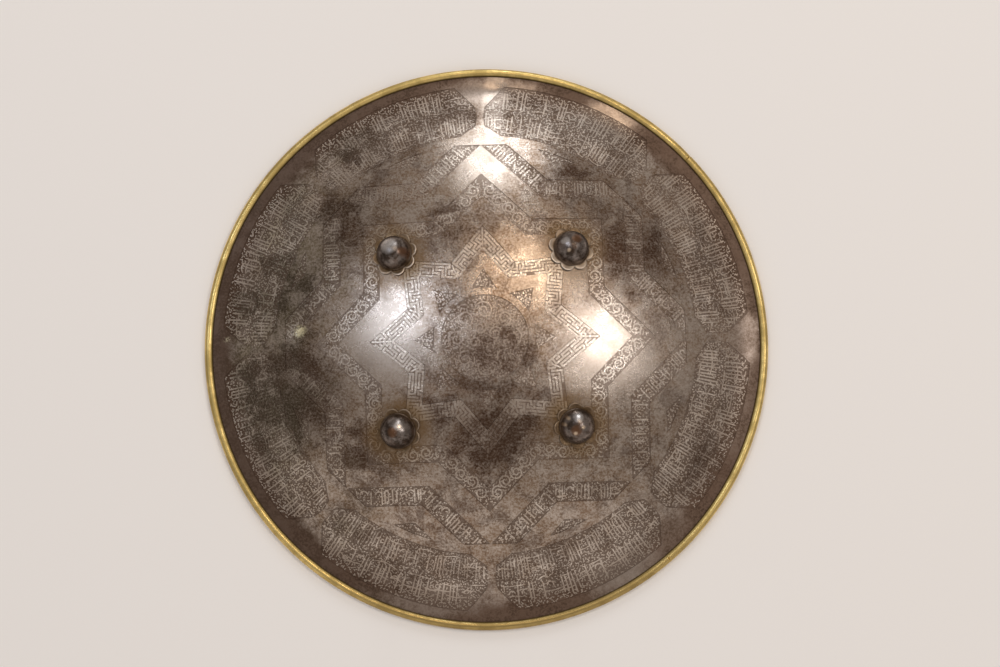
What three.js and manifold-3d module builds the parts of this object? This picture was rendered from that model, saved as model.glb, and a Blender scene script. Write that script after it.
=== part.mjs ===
// Round domed shield of patinated steel: an eight-fold star pattern sunk in its face, a folded
// brass edging, and four domed bosses riveted through petalled washers.
// Millimetres, +Z up. The shield lies face up on its edging, with the floor at z = 0.
import * as THREE from 'three';
import { ParametricGeometry } from 'three/addons/geometries/ParametricGeometry.js';
import { mergeVertices } from 'three/addons/utils/BufferGeometryUtils.js';
import Module from 'manifold-3d';

const wasm = await Module();
wasm.setup();

const DEGREE = Math.PI / 180;

// Plate: a spherical dome that turns out through a small flare into a narrow flat border.
const PLATE_THICKNESS = 1.8;
const PLATE_EDGE_RADIUS = 226;
const PLATE_EDGE_HEIGHT = 4.1;
const DOME_RADIUS = 400;
const DOME_END = 198;
const FLARE_RADIUS = 45;
const BORDER_SLOPE = 5 * DEGREE;
const BACK_DOME_RINGS = [0, 45, 91, 107, 155];

// Pattern: sixteen mirrored wedges between star tips and the hollows beside them.
const WEDGE = 22.5 * DEGREE;
const WEDGE_COUNT = 16;
const RAY_ANGLES = [0, 0.7, 1.2, 5.5, 15.5, 22.5].map((angle) => angle * DEGREE);
const SINK_DEPTH = 0.5;
const MEDALLION_RADIUS = 34.4;
const TRIANGLE_BASE_RADIUS = 40;
const TRIANGLE_POINT_RADIUS = 55.6;
const TRIANGLE_CORNER_ANGLE = 15.5 * DEGREE;
const INNER_STAR_TIPS = [71, 91];
const INNER_STAR_HOLLOW_RATIO = 0.72;
const MIDDLE_STAR_TIPS = [116, 135];
const OUTER_STAR_TIPS = [160.5, 182];
const STAR_HOLLOW_RATIO = 0.7654;
const SPANDREL_POINT_RADIUS = 154;
const SPANDREL_BASE_RADIUS = 162.5;
const SPANDREL_CORNER_ANGLE = 15.5 * DEGREE;
const PANEL_INNER_RADIUS = 169;
const PANEL_OUTER_RADIUS = 215;
const PANEL_POINT_ANGLE = 0.7 * DEGREE;
const PANEL_END_ANGLE = 1.2 * DEGREE;
const PANEL_FULL_ANGLE = 5.5 * DEGREE;
const PANEL_END_RADII = [177.5, 196];
const PANEL_STEPS = [0.2, 0.4];

// Brass edging folded over the plate's edge.
const RIM_OUTER_RADIUS = 230;
const RIM_INNER_RADIUS = 223;
const RIM_HEIGHT = 6.4;
const RIM_SEAT = [225.2, 228];
const RIM_LIP_THICKNESS = 0.9;
const RIM_ARC_START = -45 * DEGREE;
const RIM_ARC_END = 115 * DEGREE;
const RIM_ARC_STEPS = 5;
const RIM_GAP = 0.3;
const RIM_SLOT_END_GAP = 0.8;
const RIM_RAY_ANGLES = [0, 7.5, 15.5, 22.5].map((angle) => angle * DEGREE);
const RIM_JOINT_ANGLE = 41.3 * DEGREE;
const RIM_JOINT_GROOVE = 0.7;
const RIM_PIN_ANGLE = -51.1 * DEGREE;
const RIM_PIN_RADIUS = 0.7;
const RIM_PIN_DEPTH = 1.6;

// Bosses, washers and rivets, set square to the dome.
const BOSS_CIRCLE_RADIUS = 98.6;
const BOSS_COUNT = 4;
const BOSS_RADIUS = 13.5;
const BOSS_COLLAR_RADIUS = 14.2;
const BOSS_COLLAR_HEIGHT = 1.6;
const BOSS_DOME_HEIGHT = 13.2;
const BOSS_DOME_STEPS = 5;
const BOSS_SEGMENTS = 16;
const SHANK_RADIUS = 3;
const CLENCH_RADIUS = 6.5;
const CLENCH_THICKNESS = 2;
const CLENCH_CHAMFER = 0.6;
const FIT_GAP = 0.3;
const BORE_SEGMENTS = 16;
const BORE_LENGTH = 20;
const PETAL_COUNT = 8;
const PETAL_CENTRE_RADIUS = 12.2;
const PETAL_RADIUS = 6;
const PETAL_ARC_STEPS = 5;
const WASHER_TURNS = [30, 12, 20, 5].map((angle) => angle * DEGREE);
const WASHER_THICKNESS = 1.2;

const steel = new THREE.MeshStandardMaterial({ color: 0x5d5752, roughness: 0.45, metalness: 0.9 });
const bossSteel = new THREE.MeshStandardMaterial({ color: 0x6b6763, roughness: 0.3, metalness: 0.95 });
const brass = new THREE.MeshStandardMaterial({ color: 0xb08d4a, roughness: 0.35, metalness: 0.95 });

// Height and slope of the plate's front at a radius.
const domeEndSlope = Math.asin(DOME_END / DOME_RADIUS);
const flareEnd = DOME_END + FLARE_RADIUS * (Math.sin(domeEndSlope) - Math.sin(BORDER_SLOPE));
const flareEndHeight = PLATE_EDGE_HEIGHT + (PLATE_EDGE_RADIUS - flareEnd) * Math.tan(BORDER_SLOPE);
const domeEndHeight = flareEndHeight
  + FLARE_RADIUS * (Math.cos(BORDER_SLOPE) - Math.cos(domeEndSlope));
const domeCentreHeight = domeEndHeight - DOME_RADIUS * Math.cos(domeEndSlope);

function frontFace(radius) {
  if (radius <= DOME_END) {
    const slope = Math.asin(radius / DOME_RADIUS);
    return { slope, height: domeCentreHeight + DOME_RADIUS * Math.cos(slope) };
  }
  if (radius <= flareEnd) {
    const slope = Math.asin(Math.sin(domeEndSlope) - (radius - DOME_END) / FLARE_RADIUS);
    const fall = FLARE_RADIUS * (Math.cos(slope) - Math.cos(domeEndSlope));
    return { slope, height: domeEndHeight - fall };
  }
  const fall = (radius - flareEnd) * Math.tan(BORDER_SLOPE);
  return { slope: BORDER_SLOPE, height: flareEndHeight - fall };
}

// Point on the back of the plate, one thickness in from the front at a radius.
function backPoint(radius) {
  const { slope, height } = frontFace(radius);
  return {
    radius: radius - PLATE_THICKNESS * Math.sin(slope),
    height: height - PLATE_THICKNESS * Math.cos(slope),
  };
}

// Radius, by angle from the tip line, of the straight line between two polar points.
function straightSide(startRadius, startAngle, endRadius, endAngle) {
  const startX = startRadius * Math.cos(startAngle);
  const startY = startRadius * Math.sin(startAngle);
  const runX = endRadius * Math.cos(endAngle) - startX;
  const runY = endRadius * Math.sin(endAngle) - startY;
  const moment = startX * runY - startY * runX;
  return (angle) => moment / (Math.cos(angle) * runY - Math.sin(angle) * runX);
}

const starSide = (tip, ratio) => straightSide(tip, 0, tip * ratio, WEDGE);
const starBand = (tips, ratio) => ({
  inner: starSide(tips[0], ratio),
  outer: starSide(tips[1], ratio),
  steps: [],
});

// Small triangles round the medallion, pointing out along the tip lines.
const triangleSide = straightSide(TRIANGLE_POINT_RADIUS, 0, TRIANGLE_BASE_RADIUS, TRIANGLE_CORNER_ANGLE);
const triangles = {
  inner: () => TRIANGLE_BASE_RADIUS,
  outer: (angle) => (angle < TRIANGLE_CORNER_ANGLE ? triangleSide(angle) : TRIANGLE_BASE_RADIUS),
  steps: [],
};

// Arms of the outer star, each pair cut square at the tips.
const armInner = starSide(OUTER_STAR_TIPS[0], STAR_HOLLOW_RATIO);
const armOuter = starSide(OUTER_STAR_TIPS[1], STAR_HOLLOW_RATIO);
const starArms = {
  inner: armInner,
  outer: (angle) => Math.min(armOuter(angle), OUTER_STAR_TIPS[0] / Math.cos(angle)),
  steps: [],
};

// Small spandrels between the star and the border panels.
const spandrelSide = straightSide(SPANDREL_BASE_RADIUS, SPANDREL_CORNER_ANGLE, SPANDREL_POINT_RADIUS, WEDGE);
const spandrels = {
  inner: (angle) => (angle > SPANDREL_CORNER_ANGLE ? spandrelSide(angle) : SPANDREL_BASE_RADIUS),
  outer: () => SPANDREL_BASE_RADIUS,
  steps: [],
};

// Eight border panels, their ends narrowed to leave crossed straps on the tip lines.
function panelSide(endRadius, fullRadius) {
  const middle = (PANEL_END_RADII[0] + PANEL_END_RADII[1]) / 2;
  return (angle) => {
    if (angle <= PANEL_POINT_ANGLE) {
      return middle;
    }
    if (angle < PANEL_END_ANGLE) {
      const opening = (angle - PANEL_POINT_ANGLE) / (PANEL_END_ANGLE - PANEL_POINT_ANGLE);
      return middle + (endRadius - middle) * opening;
    }
    const reach = Math.min((angle - PANEL_END_ANGLE) / (PANEL_FULL_ANGLE - PANEL_END_ANGLE), 1);
    return endRadius + (fullRadius - endRadius) * reach;
  };
}

const borderPanels = {
  inner: panelSide(PANEL_END_RADII[0], PANEL_INNER_RADIUS),
  outer: panelSide(PANEL_END_RADII[1], PANEL_OUTER_RADIUS),
  steps: PANEL_STEPS,
};

const sunkBands = [
  triangles,
  starBand(INNER_STAR_TIPS, INNER_STAR_HOLLOW_RATIO),
  starBand(MIDDLE_STAR_TIPS, STAR_HOLLOW_RATIO),
  starArms,
  spandrels,
  borderPanels,
];

// Section of the plate along one ray, from the back's centre round the edge to the front's centre.
function plateSection(angle) {
  const flareRings = [DOME_END, (DOME_END + flareEnd) / 2, flareEnd];
  const section = [...BACK_DOME_RINGS, ...flareRings, PLATE_EDGE_RADIUS].map(backPoint);
  const frontPoint = (radius, sink) => {
    section.push({ radius, height: frontFace(radius).height - sink });
  };
  frontPoint(PLATE_EDGE_RADIUS, 0);
  frontPoint(flareEnd, 0);
  for (const band of [...sunkBands].reverse()) {
    const outer = band.outer(angle);
    const inner = band.inner(angle);
    const sink = outer > inner ? SINK_DEPTH : 0;
    frontPoint(outer, 0);
    frontPoint(outer, sink);
    band.steps.forEach((step) => frontPoint(outer + (inner - outer) * step, sink));
    frontPoint(inner, sink);
    frontPoint(inner, 0);
  }
  frontPoint(MEDALLION_RADIUS, 0);
  frontPoint(MEDALLION_RADIUS, SINK_DEPTH);
  frontPoint(0, SINK_DEPTH);
  return section;
}

// Every ray round the shield, as its direction and its angle from the nearest tip line.
function raysRound(wedgeAngles) {
  const rays = [];
  for (let wedge = 0; wedge < WEDGE_COUNT; wedge += 1) {
    const mirrored = wedge % 2 === 1;
    for (let step = 0; step < wedgeAngles.length - 1; step += 1) {
      const angle = mirrored ? wedgeAngles[wedgeAngles.length - 1 - step] : wedgeAngles[step];
      rays.push({ angle, direction: wedge * WEDGE + (mirrored ? WEDGE - angle : angle) });
    }
  }
  return rays;
}

// Closed surface swept round the axis, one section a ray.
function sweepRound(sectionOf, rays) {
  const sections = rays.map((ray) => sectionOf(ray.angle));
  const stacks = sections[0].length - 1;
  const place = (u, v, target) => {
    const index = Math.round(u * rays.length) % rays.length;
    const { radius, height } = sections[index][Math.round(v * stacks)];
    const { direction } = rays[index];
    target.set(radius * Math.cos(direction), radius * Math.sin(direction), height);
  };
  return new ParametricGeometry(place, rays.length, stacks);
}

function toSolid(geometry) {
  const bare = geometry.clone();
  bare.deleteAttribute('normal');
  bare.deleteAttribute('uv');
  const merged = mergeVertices(bare);
  return new wasm.Manifold(new wasm.Mesh({
    numProp: 3,
    vertProperties: new Float32Array(merged.attributes.position.array),
    triVerts: new Uint32Array(merged.index.array),
  }));
}

function toGeometry(solid) {
  const { vertProperties, triVerts } = solid.getMesh();
  const geometry = new THREE.BufferGeometry();
  geometry.setAttribute('position', new THREE.BufferAttribute(new Float32Array(vertProperties), 3));
  geometry.setIndex(new THREE.BufferAttribute(new Uint32Array(triVerts), 1));
  return geometry;
}

// Seat of one boss: the dome's point and outward normal on a diagonal.
function bossSeat(index) {
  const direction = (index + 0.5) * (2 * Math.PI / BOSS_COUNT);
  const { slope, height } = frontFace(BOSS_CIRCLE_RADIUS);
  const outward = new THREE.Vector3(Math.cos(direction), Math.sin(direction), 0);
  const up = new THREE.Vector3(0, 0, 1);
  const normal = outward.clone().multiplyScalar(Math.sin(slope)).addScaledVector(up, Math.cos(slope));
  const turn = new THREE.Quaternion().setFromUnitVectors(up, normal);
  const point = outward.multiplyScalar(BOSS_CIRCLE_RADIUS).setZ(height);
  return new THREE.Matrix4().compose(point, turn, new THREE.Vector3(1, 1, 1));
}

function buildBowl() {
  let bowl = toSolid(sweepRound(plateSection, raysRound(RAY_ANGLES)));
  for (let index = 0; index < BOSS_COUNT; index += 1) {
    const bore = new THREE.CylinderGeometry(
      SHANK_RADIUS + FIT_GAP, SHANK_RADIUS + FIT_GAP, BORE_LENGTH, BORE_SEGMENTS,
    );
    bore.rotateX(Math.PI / 2);
    bore.applyMatrix4(bossSeat(index));
    bowl = bowl.subtract(toSolid(bore));
  }
  return toGeometry(bowl);
}

// Section of the edging: a half-round bead with a flat seat and a slot for the plate's edge.
function rimSection() {
  const slotTop = (radius) => frontFace(radius).height + RIM_GAP;
  const slotBottom = backPoint(PLATE_EDGE_RADIUS).height - RIM_GAP;
  const slotEnd = PLATE_EDGE_RADIUS + RIM_SLOT_END_GAP;
  const beadCentre = (RIM_INNER_RADIUS + RIM_OUTER_RADIUS) / 2;
  const beadHalfWidth = (RIM_OUTER_RADIUS - RIM_INNER_RADIUS) / 2;
  const middle = RIM_HEIGHT / 2;
  const section = [
    { radius: RIM_INNER_RADIUS, height: slotBottom - RIM_LIP_THICKNESS },
    { radius: RIM_SEAT[0], height: 0 },
    { radius: RIM_SEAT[1], height: 0 },
  ];
  for (let step = 0; step <= RIM_ARC_STEPS; step += 1) {
    const angle = RIM_ARC_START + (step / RIM_ARC_STEPS) * (RIM_ARC_END - RIM_ARC_START);
    section.push({
      radius: beadCentre + beadHalfWidth * Math.cos(angle),
      height: middle + middle * Math.sin(angle),
    });
  }
  section.push({ radius: RIM_INNER_RADIUS, height: slotTop(RIM_INNER_RADIUS) + RIM_GAP });
  section.push({ radius: RIM_INNER_RADIUS, height: slotTop(RIM_INNER_RADIUS) });
  section.push({ radius: slotEnd, height: slotTop(PLATE_EDGE_RADIUS) });
  section.push({ radius: slotEnd, height: slotBottom });
  section.push({ radius: RIM_INNER_RADIUS, height: slotBottom });
  section.push(section[0]);
  return section;
}

function buildRim() {
  const beadCentre = (RIM_INNER_RADIUS + RIM_OUTER_RADIUS) / 2;
  const grooveLength = 2 * (RIM_OUTER_RADIUS - RIM_INNER_RADIUS);
  const groove = new THREE.BoxGeometry(grooveLength, RIM_JOINT_GROOVE, RIM_JOINT_GROOVE);
  groove.rotateX(45 * DEGREE);
  groove.translate(beadCentre, 0, RIM_HEIGHT);
  groove.rotateZ(RIM_JOINT_ANGLE);
  const pin = new THREE.CylinderGeometry(RIM_PIN_RADIUS, RIM_PIN_RADIUS, 2 * RIM_PIN_DEPTH, BORE_SEGMENTS);
  pin.rotateX(Math.PI / 2);
  pin.translate(beadCentre, 0, RIM_HEIGHT);
  pin.rotateZ(RIM_PIN_ANGLE);
  const ring = toSolid(sweepRound(rimSection, raysRound(RIM_RAY_ANGLES)));
  return toGeometry(ring.subtract(toSolid(groove)).subtract(toSolid(pin)));
}

// Boss, shank and clenched end, turned in one; local z = 0 is the plate's front.
function buildBoss() {
  const collarBase = WASHER_THICKNESS + 2 * FIT_GAP;
  const domeBase = collarBase + BOSS_COLLAR_HEIGHT;
  const clenchTop = -PLATE_THICKNESS - FIT_GAP;
  const clenchEnd = clenchTop - CLENCH_THICKNESS;
  const section = [
    new THREE.Vector2(0, clenchEnd),
    new THREE.Vector2(CLENCH_RADIUS - CLENCH_CHAMFER, clenchEnd),
    new THREE.Vector2(CLENCH_RADIUS, clenchEnd + CLENCH_CHAMFER),
    new THREE.Vector2(CLENCH_RADIUS, clenchTop),
    new THREE.Vector2(SHANK_RADIUS, clenchTop),
    new THREE.Vector2(SHANK_RADIUS, collarBase),
    new THREE.Vector2(BOSS_COLLAR_RADIUS, collarBase),
    new THREE.Vector2(BOSS_COLLAR_RADIUS, domeBase),
  ];
  for (let step = 0; step <= BOSS_DOME_STEPS; step += 1) {
    const angle = (step / BOSS_DOME_STEPS) * 90 * DEGREE;
    const radius = step === BOSS_DOME_STEPS ? 0 : BOSS_RADIUS * Math.cos(angle);
    section.push(new THREE.Vector2(radius, domeBase + BOSS_DOME_HEIGHT * Math.sin(angle)));
  }
  const boss = new THREE.LatheGeometry(section, BOSS_SEGMENTS);
  boss.rotateX(Math.PI / 2);
  return boss;
}

// Scalloped washer with one round lobe a petal.
function buildRosette() {
  const outline = new THREE.Shape();
  const pitch = 2 * Math.PI / PETAL_COUNT;
  const halfLobe = Math.acos(
    (PETAL_CENTRE_RADIUS * Math.sin(pitch / 2)) / PETAL_RADIUS,
  );
  const sweep = Math.PI / 2 + pitch / 2 - halfLobe;
  const points = [];
  for (let petal = 0; petal < PETAL_COUNT; petal += 1) {
    const facing = petal * pitch;
    for (let step = 0; step < PETAL_ARC_STEPS; step += 1) {
      const angle = facing + sweep * (2 * step / PETAL_ARC_STEPS - 1);
      points.push(new THREE.Vector2(
        PETAL_CENTRE_RADIUS * Math.cos(facing) + PETAL_RADIUS * Math.cos(angle),
        PETAL_CENTRE_RADIUS * Math.sin(facing) + PETAL_RADIUS * Math.sin(angle),
      ));
    }
  }
  outline.setFromPoints(points);
  const bore = new THREE.Path();
  bore.absarc(0, 0, SHANK_RADIUS + FIT_GAP, 0, 2 * Math.PI, true);
  outline.holes.push(bore);
  const rosette = new THREE.ExtrudeGeometry(outline, {
    depth: WASHER_THICKNESS,
    bevelEnabled: false,
    curveSegments: BORE_SEGMENTS / 2,
  });
  rosette.translate(0, 0, FIT_GAP);
  return rosette;
}

function addPiece(group, name, geometry, material) {
  const mesh = new THREE.Mesh(geometry, material);
  mesh.name = name;
  group.add(mesh);
}

const shield = new THREE.Group();
shield.name = 'shield';
addPiece(shield, 'shield_bowl', buildBowl(), steel);
addPiece(shield, 'brass_rim', buildRim(), brass);
for (let index = 0; index < BOSS_COUNT; index += 1) {
  const seat = bossSeat(index);
  const rosette = buildRosette().rotateZ(WASHER_TURNS[index]).applyMatrix4(seat);
  addPiece(shield, `rosette_${index + 1}`, rosette, bossSteel);
  addPiece(shield, `boss_${index + 1}`, buildBoss().applyMatrix4(seat), bossSteel);
}

export default shield;
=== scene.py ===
"""Finished surfaces, light and camera of a round steel shield that lies face up on its brass edging."""

from __future__ import annotations

import logging
import math
import random
from collections.abc import Callable, Iterable, Sequence
from dataclasses import dataclass, field
from enum import Enum

import bmesh
import bpy
import numpy as np
from mathutils import Matrix, Vector

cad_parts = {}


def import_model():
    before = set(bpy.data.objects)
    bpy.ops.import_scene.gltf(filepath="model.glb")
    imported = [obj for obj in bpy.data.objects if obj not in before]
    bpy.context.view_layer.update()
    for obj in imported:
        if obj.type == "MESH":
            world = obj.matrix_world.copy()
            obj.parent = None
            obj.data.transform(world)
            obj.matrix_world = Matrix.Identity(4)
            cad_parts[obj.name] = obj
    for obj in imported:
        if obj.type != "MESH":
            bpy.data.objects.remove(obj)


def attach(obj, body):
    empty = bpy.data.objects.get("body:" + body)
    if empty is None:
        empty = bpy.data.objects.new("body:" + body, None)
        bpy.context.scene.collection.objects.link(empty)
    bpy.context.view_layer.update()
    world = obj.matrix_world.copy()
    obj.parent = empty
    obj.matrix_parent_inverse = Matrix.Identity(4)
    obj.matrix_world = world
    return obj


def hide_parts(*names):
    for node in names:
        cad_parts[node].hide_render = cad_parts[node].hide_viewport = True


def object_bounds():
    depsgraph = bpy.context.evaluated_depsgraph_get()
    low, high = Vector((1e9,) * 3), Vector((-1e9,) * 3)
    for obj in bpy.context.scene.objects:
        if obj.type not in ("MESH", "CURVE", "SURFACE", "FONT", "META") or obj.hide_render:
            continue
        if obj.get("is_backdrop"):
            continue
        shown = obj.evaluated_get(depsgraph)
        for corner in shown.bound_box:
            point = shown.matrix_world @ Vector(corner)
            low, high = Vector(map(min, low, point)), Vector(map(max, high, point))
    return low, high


LOG = logging.getLogger("shield")
MM = 0.001
WELD = 1e-7
WEDGE = math.radians(22.5)
WEDGES = 16
BOSS_CIRCLE = 98.6
PLAN = (1.0, 1.0, 0.0)

Point = tuple[float, float]
Colour = tuple[float, float, float]
Socket = bpy.types.NodeSocket
Sockets = dict[str, bpy.types.NodeSocket]
Tree = bpy.types.NodeTree
Piece = bpy.types.Object


class Slot(Enum):
    """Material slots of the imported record."""

    STEEL = "patinated_steel"
    BOSS = "boss_steel"
    BRASS = "brass"


class Mark(Enum):
    """Kinds of stroke in the rows of strokes."""

    UPRIGHT = "upright"
    HOOK = "hook"
    BOWL = "bowl"
    LOOP = "loop"
    SWEEP = "sweep"
    DOT = "dot"


def plan_point(radius: float, angle: float) -> Point:
    """Plan point at a radius and an angle."""
    return radius * math.cos(angle), radius * math.sin(angle)


def wrapped(angle: float | np.ndarray) -> float | np.ndarray:
    """Angle brought within half a turn of zero."""
    return (angle + math.pi) % (2.0 * math.pi) - math.pi


# Form of the plate


@dataclass(frozen=True)
class Dent:
    """Round dent in the plate, in millimetres.

    Args:
        x: Place along X.
        y: Place along Y.
        radius: Radius at half depth.
        depth: Depth at the middle.
    """

    x: float
    y: float
    radius: float
    depth: float


@dataclass(frozen=True)
class DomeForm:
    """Front of the plate: a sphere, a flare and a narrow border, with hammered unevenness. Millimetres."""

    dome_radius: float = 400.0
    dome_end: float = 198.0
    flare_radius: float = 45.0
    border_slope: float = math.radians(5.0)
    edge_radius: float = 226.0
    edge_height: float = 4.1
    thickness: float = 1.8
    wave_count: int = 30
    wave_lengths: tuple[float, float] = (34.0, 105.0)
    wave_steepness: float = 0.00045
    wave_seed: int = 11
    dents: tuple[Dent, ...] = (
        Dent(-146.0, 11.0, 8.5, 2.1), Dent(-62.0, -120.0, 14.0, 0.35), Dent(120.0, 96.0, 16.0, 0.4),
        Dent(40.0, -150.0, 18.0, 0.4), Dent(15.0, 215.0, 8.0, 1.7),
    )
    even_edge: float = 6.0
    fade_run: float = 14.0

    def front(self, radii: np.ndarray) -> tuple[np.ndarray, np.ndarray]:
        """Height and slope of the even front at each radius.

        Args:
            radii: Distances from the axis.

        Returns:
            Heights, and slopes in radians.
        """
        end_slope = math.asin(self.dome_end / self.dome_radius)
        flare_end = self.dome_end + self.flare_radius * (math.sin(end_slope) - math.sin(self.border_slope))
        flare_height = self.edge_height + (self.edge_radius - flare_end) * math.tan(self.border_slope)
        dome_height = flare_height + self.flare_radius * (math.cos(self.border_slope) - math.cos(end_slope))
        centre = dome_height - self.dome_radius * math.cos(end_slope)
        dome = np.arcsin(np.clip(radii / self.dome_radius, 0.0, 1.0))
        flare = np.arcsin(np.clip(math.sin(end_slope) - (radii - self.dome_end) / self.flare_radius, 0.0, 1.0))
        in_dome = radii <= self.dome_end
        in_flare = radii <= flare_end
        slopes = np.where(in_dome, dome, np.where(in_flare, flare, self.border_slope))
        border = flare_height - (radii - flare_end) * math.tan(self.border_slope)
        turned = dome_height - self.flare_radius * (np.cos(flare) - math.cos(end_slope))
        heights = np.where(in_dome, centre + self.dome_radius * np.cos(dome), np.where(in_flare, turned, border))
        return heights, slopes

    def unevenness(self, xs: np.ndarray, ys: np.ndarray) -> np.ndarray:
        """Hammered waves and dents, fading out at the edging.

        Args:
            xs: Places along X.
            ys: Places along Y.

        Returns:
            Height added at each place.
        """
        rng = np.random.default_rng(self.wave_seed)
        total = np.zeros_like(xs)
        for _ in range(self.wave_count):
            length = rng.uniform(*self.wave_lengths)
            heading, start = rng.uniform(0.0, 2.0 * math.pi, 2)
            phase = (xs * math.cos(heading) + ys * math.sin(heading)) * 2.0 * math.pi / length + start
            total += self.wave_steepness * length * np.sin(phase)
        for dent in self.dents:
            spread = ((xs - dent.x) ** 2 + (ys - dent.y) ** 2) / dent.radius**2
            total -= dent.depth * np.exp(-spread)
        fade = np.clip((self.edge_radius - self.even_edge - np.hypot(xs, ys)) / self.fade_run, 0.0, 1.0)
        return total * fade

    def seat(self, radius: float, direction: float) -> Matrix:
        """Frame square to the dome at a place.

        Args:
            radius: Distance from the axis in millimetres.
            direction: Angle round the axis in radians.

        Returns:
            Matrix from the local frame, with Z along the normal, to the shield, in metres.
        """
        heights, slopes = self.front(np.array([radius]))
        slope = float(slopes[0])
        normal = Vector((*plan_point(math.sin(slope), direction), math.cos(slope)))
        place = Vector((*plan_point(radius, direction), float(heights[0]))) * MM
        return Matrix.Translation(place) @ Vector((0.0, 0.0, 1.0)).rotation_difference(normal).to_matrix().to_4x4()


# Plan of the pattern


def straight_side(start: Point, end: Point) -> Callable[[float], float]:
    """Straight line between two polar points.

    Args:
        start: Radius and angle of one end.
        end: Radius and angle of the other end.

    Returns:
        Function that gives the line's radius at an angle.
    """
    start_x, start_y = plan_point(*start)
    end_x, end_y = plan_point(*end)
    run_x, run_y = end_x - start_x, end_y - start_y
    moment = start_x * run_y - start_y * run_x
    return lambda angle: moment / (math.cos(angle) * run_y - math.sin(angle) * run_x)


@dataclass(frozen=True)
class SunkBand:
    """Part of the face that is cut down below the plain surface.

    Args:
        inner: Radius of its inner side by angle from the tip line.
        outer: Radius of its outer side.
        steps: Rows of faces across it.
    """

    inner: Callable[[float], float]
    outer: Callable[[float], float]
    steps: int


@dataclass(frozen=True)
class StarPattern:
    """Sizes of the eight-fold pattern, in millimetres and radians from the nearest tip line."""

    medallion: float = 34.4
    triangle_base: float = 40.0
    triangle_point: float = 55.6
    triangle_corner: float = math.radians(15.5)
    inner_tips: Point = (71.0, 91.0)
    inner_ratio: float = 0.72
    middle_tips: Point = (116.0, 135.0)
    outer_tips: Point = (160.5, 182.0)
    ratio: float = 0.7654
    spandrel_point: float = 154.0
    spandrel_base: float = 162.5
    spandrel_corner: float = math.radians(16.5)
    panel_radii: Point = (169.0, 215.0)
    panel_end_radii: Point = (177.5, 196.0)
    panel_point: float = math.radians(0.7)
    panel_end: float = math.radians(1.2)
    panel_full: float = math.radians(5.5)
    sink: float = 0.4

    def star_side(self, tip: float, ratio: float) -> Callable[[float], float]:
        """Side of a star with a given tip radius and hollow ratio."""
        return straight_side((tip, 0.0), (tip * ratio, WEDGE))

    def panel_side(self, end: float, full: float) -> Callable[[float], float]:
        """Long side of a border panel, drawn in towards its pointed end.

        Args:
            end: Radius where the narrowed end stands.
            full: Radius along the panel.

        Returns:
            Function that gives the side's radius at an angle.
        """
        middle = sum(self.panel_end_radii) / 2.0

        def side(angle: float) -> float:
            """Radius at one angle.

            Args:
                angle: Angle from the tip line.

            Returns:
                Radius of the side.
            """
            opening = min(max((angle - self.panel_point) / (self.panel_end - self.panel_point), 0.0), 1.0)
            reach = min(max((angle - self.panel_end) / (self.panel_full - self.panel_end), 0.0), 1.0)
            return middle + (end - middle) * opening + (full - end) * reach

        return side

    def triangle_side(self) -> Callable[[float], float]:
        """Outer side of the small triangles."""
        return straight_side((self.triangle_point, 0.0), (self.triangle_base, self.triangle_corner))

    def spandrel_side(self) -> Callable[[float], float]:
        """Inner side of the small spandrels."""
        return straight_side((self.spandrel_base, self.spandrel_corner), (self.spandrel_point, WEDGE))

    def bands(self) -> list[SunkBand]:
        """Sunk bands from the middle outwards, without the medallion.

        Returns:
            Bands in order.
        """
        triangle, spandrel = self.triangle_side(), self.spandrel_side()
        arm = self.star_side(self.outer_tips[1], self.ratio)
        return [
            SunkBand(lambda a: self.triangle_base,
                     lambda a: triangle(a) if a < self.triangle_corner else self.triangle_base, 4),
            SunkBand(*(self.star_side(tip, self.inner_ratio) for tip in self.inner_tips), 5),
            SunkBand(*(self.star_side(tip, self.ratio) for tip in self.middle_tips), 5),
            SunkBand(self.star_side(self.outer_tips[0], self.ratio),
                     lambda a: min(arm(a), self.outer_tips[0] / math.cos(a)), 5),
            SunkBand(lambda a: spandrel(a) if a > self.spandrel_corner else self.spandrel_base,
                     lambda a: self.spandrel_base, 3),
            SunkBand(self.panel_side(self.panel_end_radii[0], self.panel_radii[0]),
                     self.panel_side(self.panel_end_radii[1], self.panel_radii[1]), 14),
        ]

    def corner_angles(self) -> list[float]:
        """Angles in a wedge where an outline turns."""
        return [0.0, self.panel_point, self.panel_end, self.panel_full, self.triangle_corner,
                self.spandrel_corner, WEDGE]


# Mesh helpers


def make_object(name: str, verts: Sequence[Sequence[float]], edges: Sequence[Sequence[int]],
                faces: Sequence[Sequence[int]]) -> Piece:
    """Object from plain lists, linked to the scene.

    Args:
        name: Piece name.
        verts: Points in metres.
        edges: Pairs of points.
        faces: Loops of points.

    Returns:
        New object at the origin.
    """
    mesh = bpy.data.meshes.new(name)
    mesh.from_pydata(verts, edges, faces)
    mesh.update()
    piece = bpy.data.objects.new(name, mesh)
    bpy.context.collection.objects.link(piece)
    return piece


def clean_mesh(piece: Piece, sharp_degrees: float) -> None:
    """Weld the mesh, drop flat faces, point faces outwards and shade it smooth between sharp edges.

    Args:
        piece: Object to clean.
        sharp_degrees: Edges that turn more than this stay sharp.
    """
    mesh = piece.data
    bm = bmesh.new()
    bm.from_mesh(mesh)
    bmesh.ops.remove_doubles(bm, verts=bm.verts, dist=WELD)
    bmesh.ops.dissolve_degenerate(bm, edges=bm.edges, dist=WELD)
    bmesh.ops.recalc_face_normals(bm, faces=bm.faces)
    bm.to_mesh(mesh)
    bm.free()
    mesh.shade_smooth()
    mesh.set_sharp_from_angle(angle=math.radians(sharp_degrees))


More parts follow.
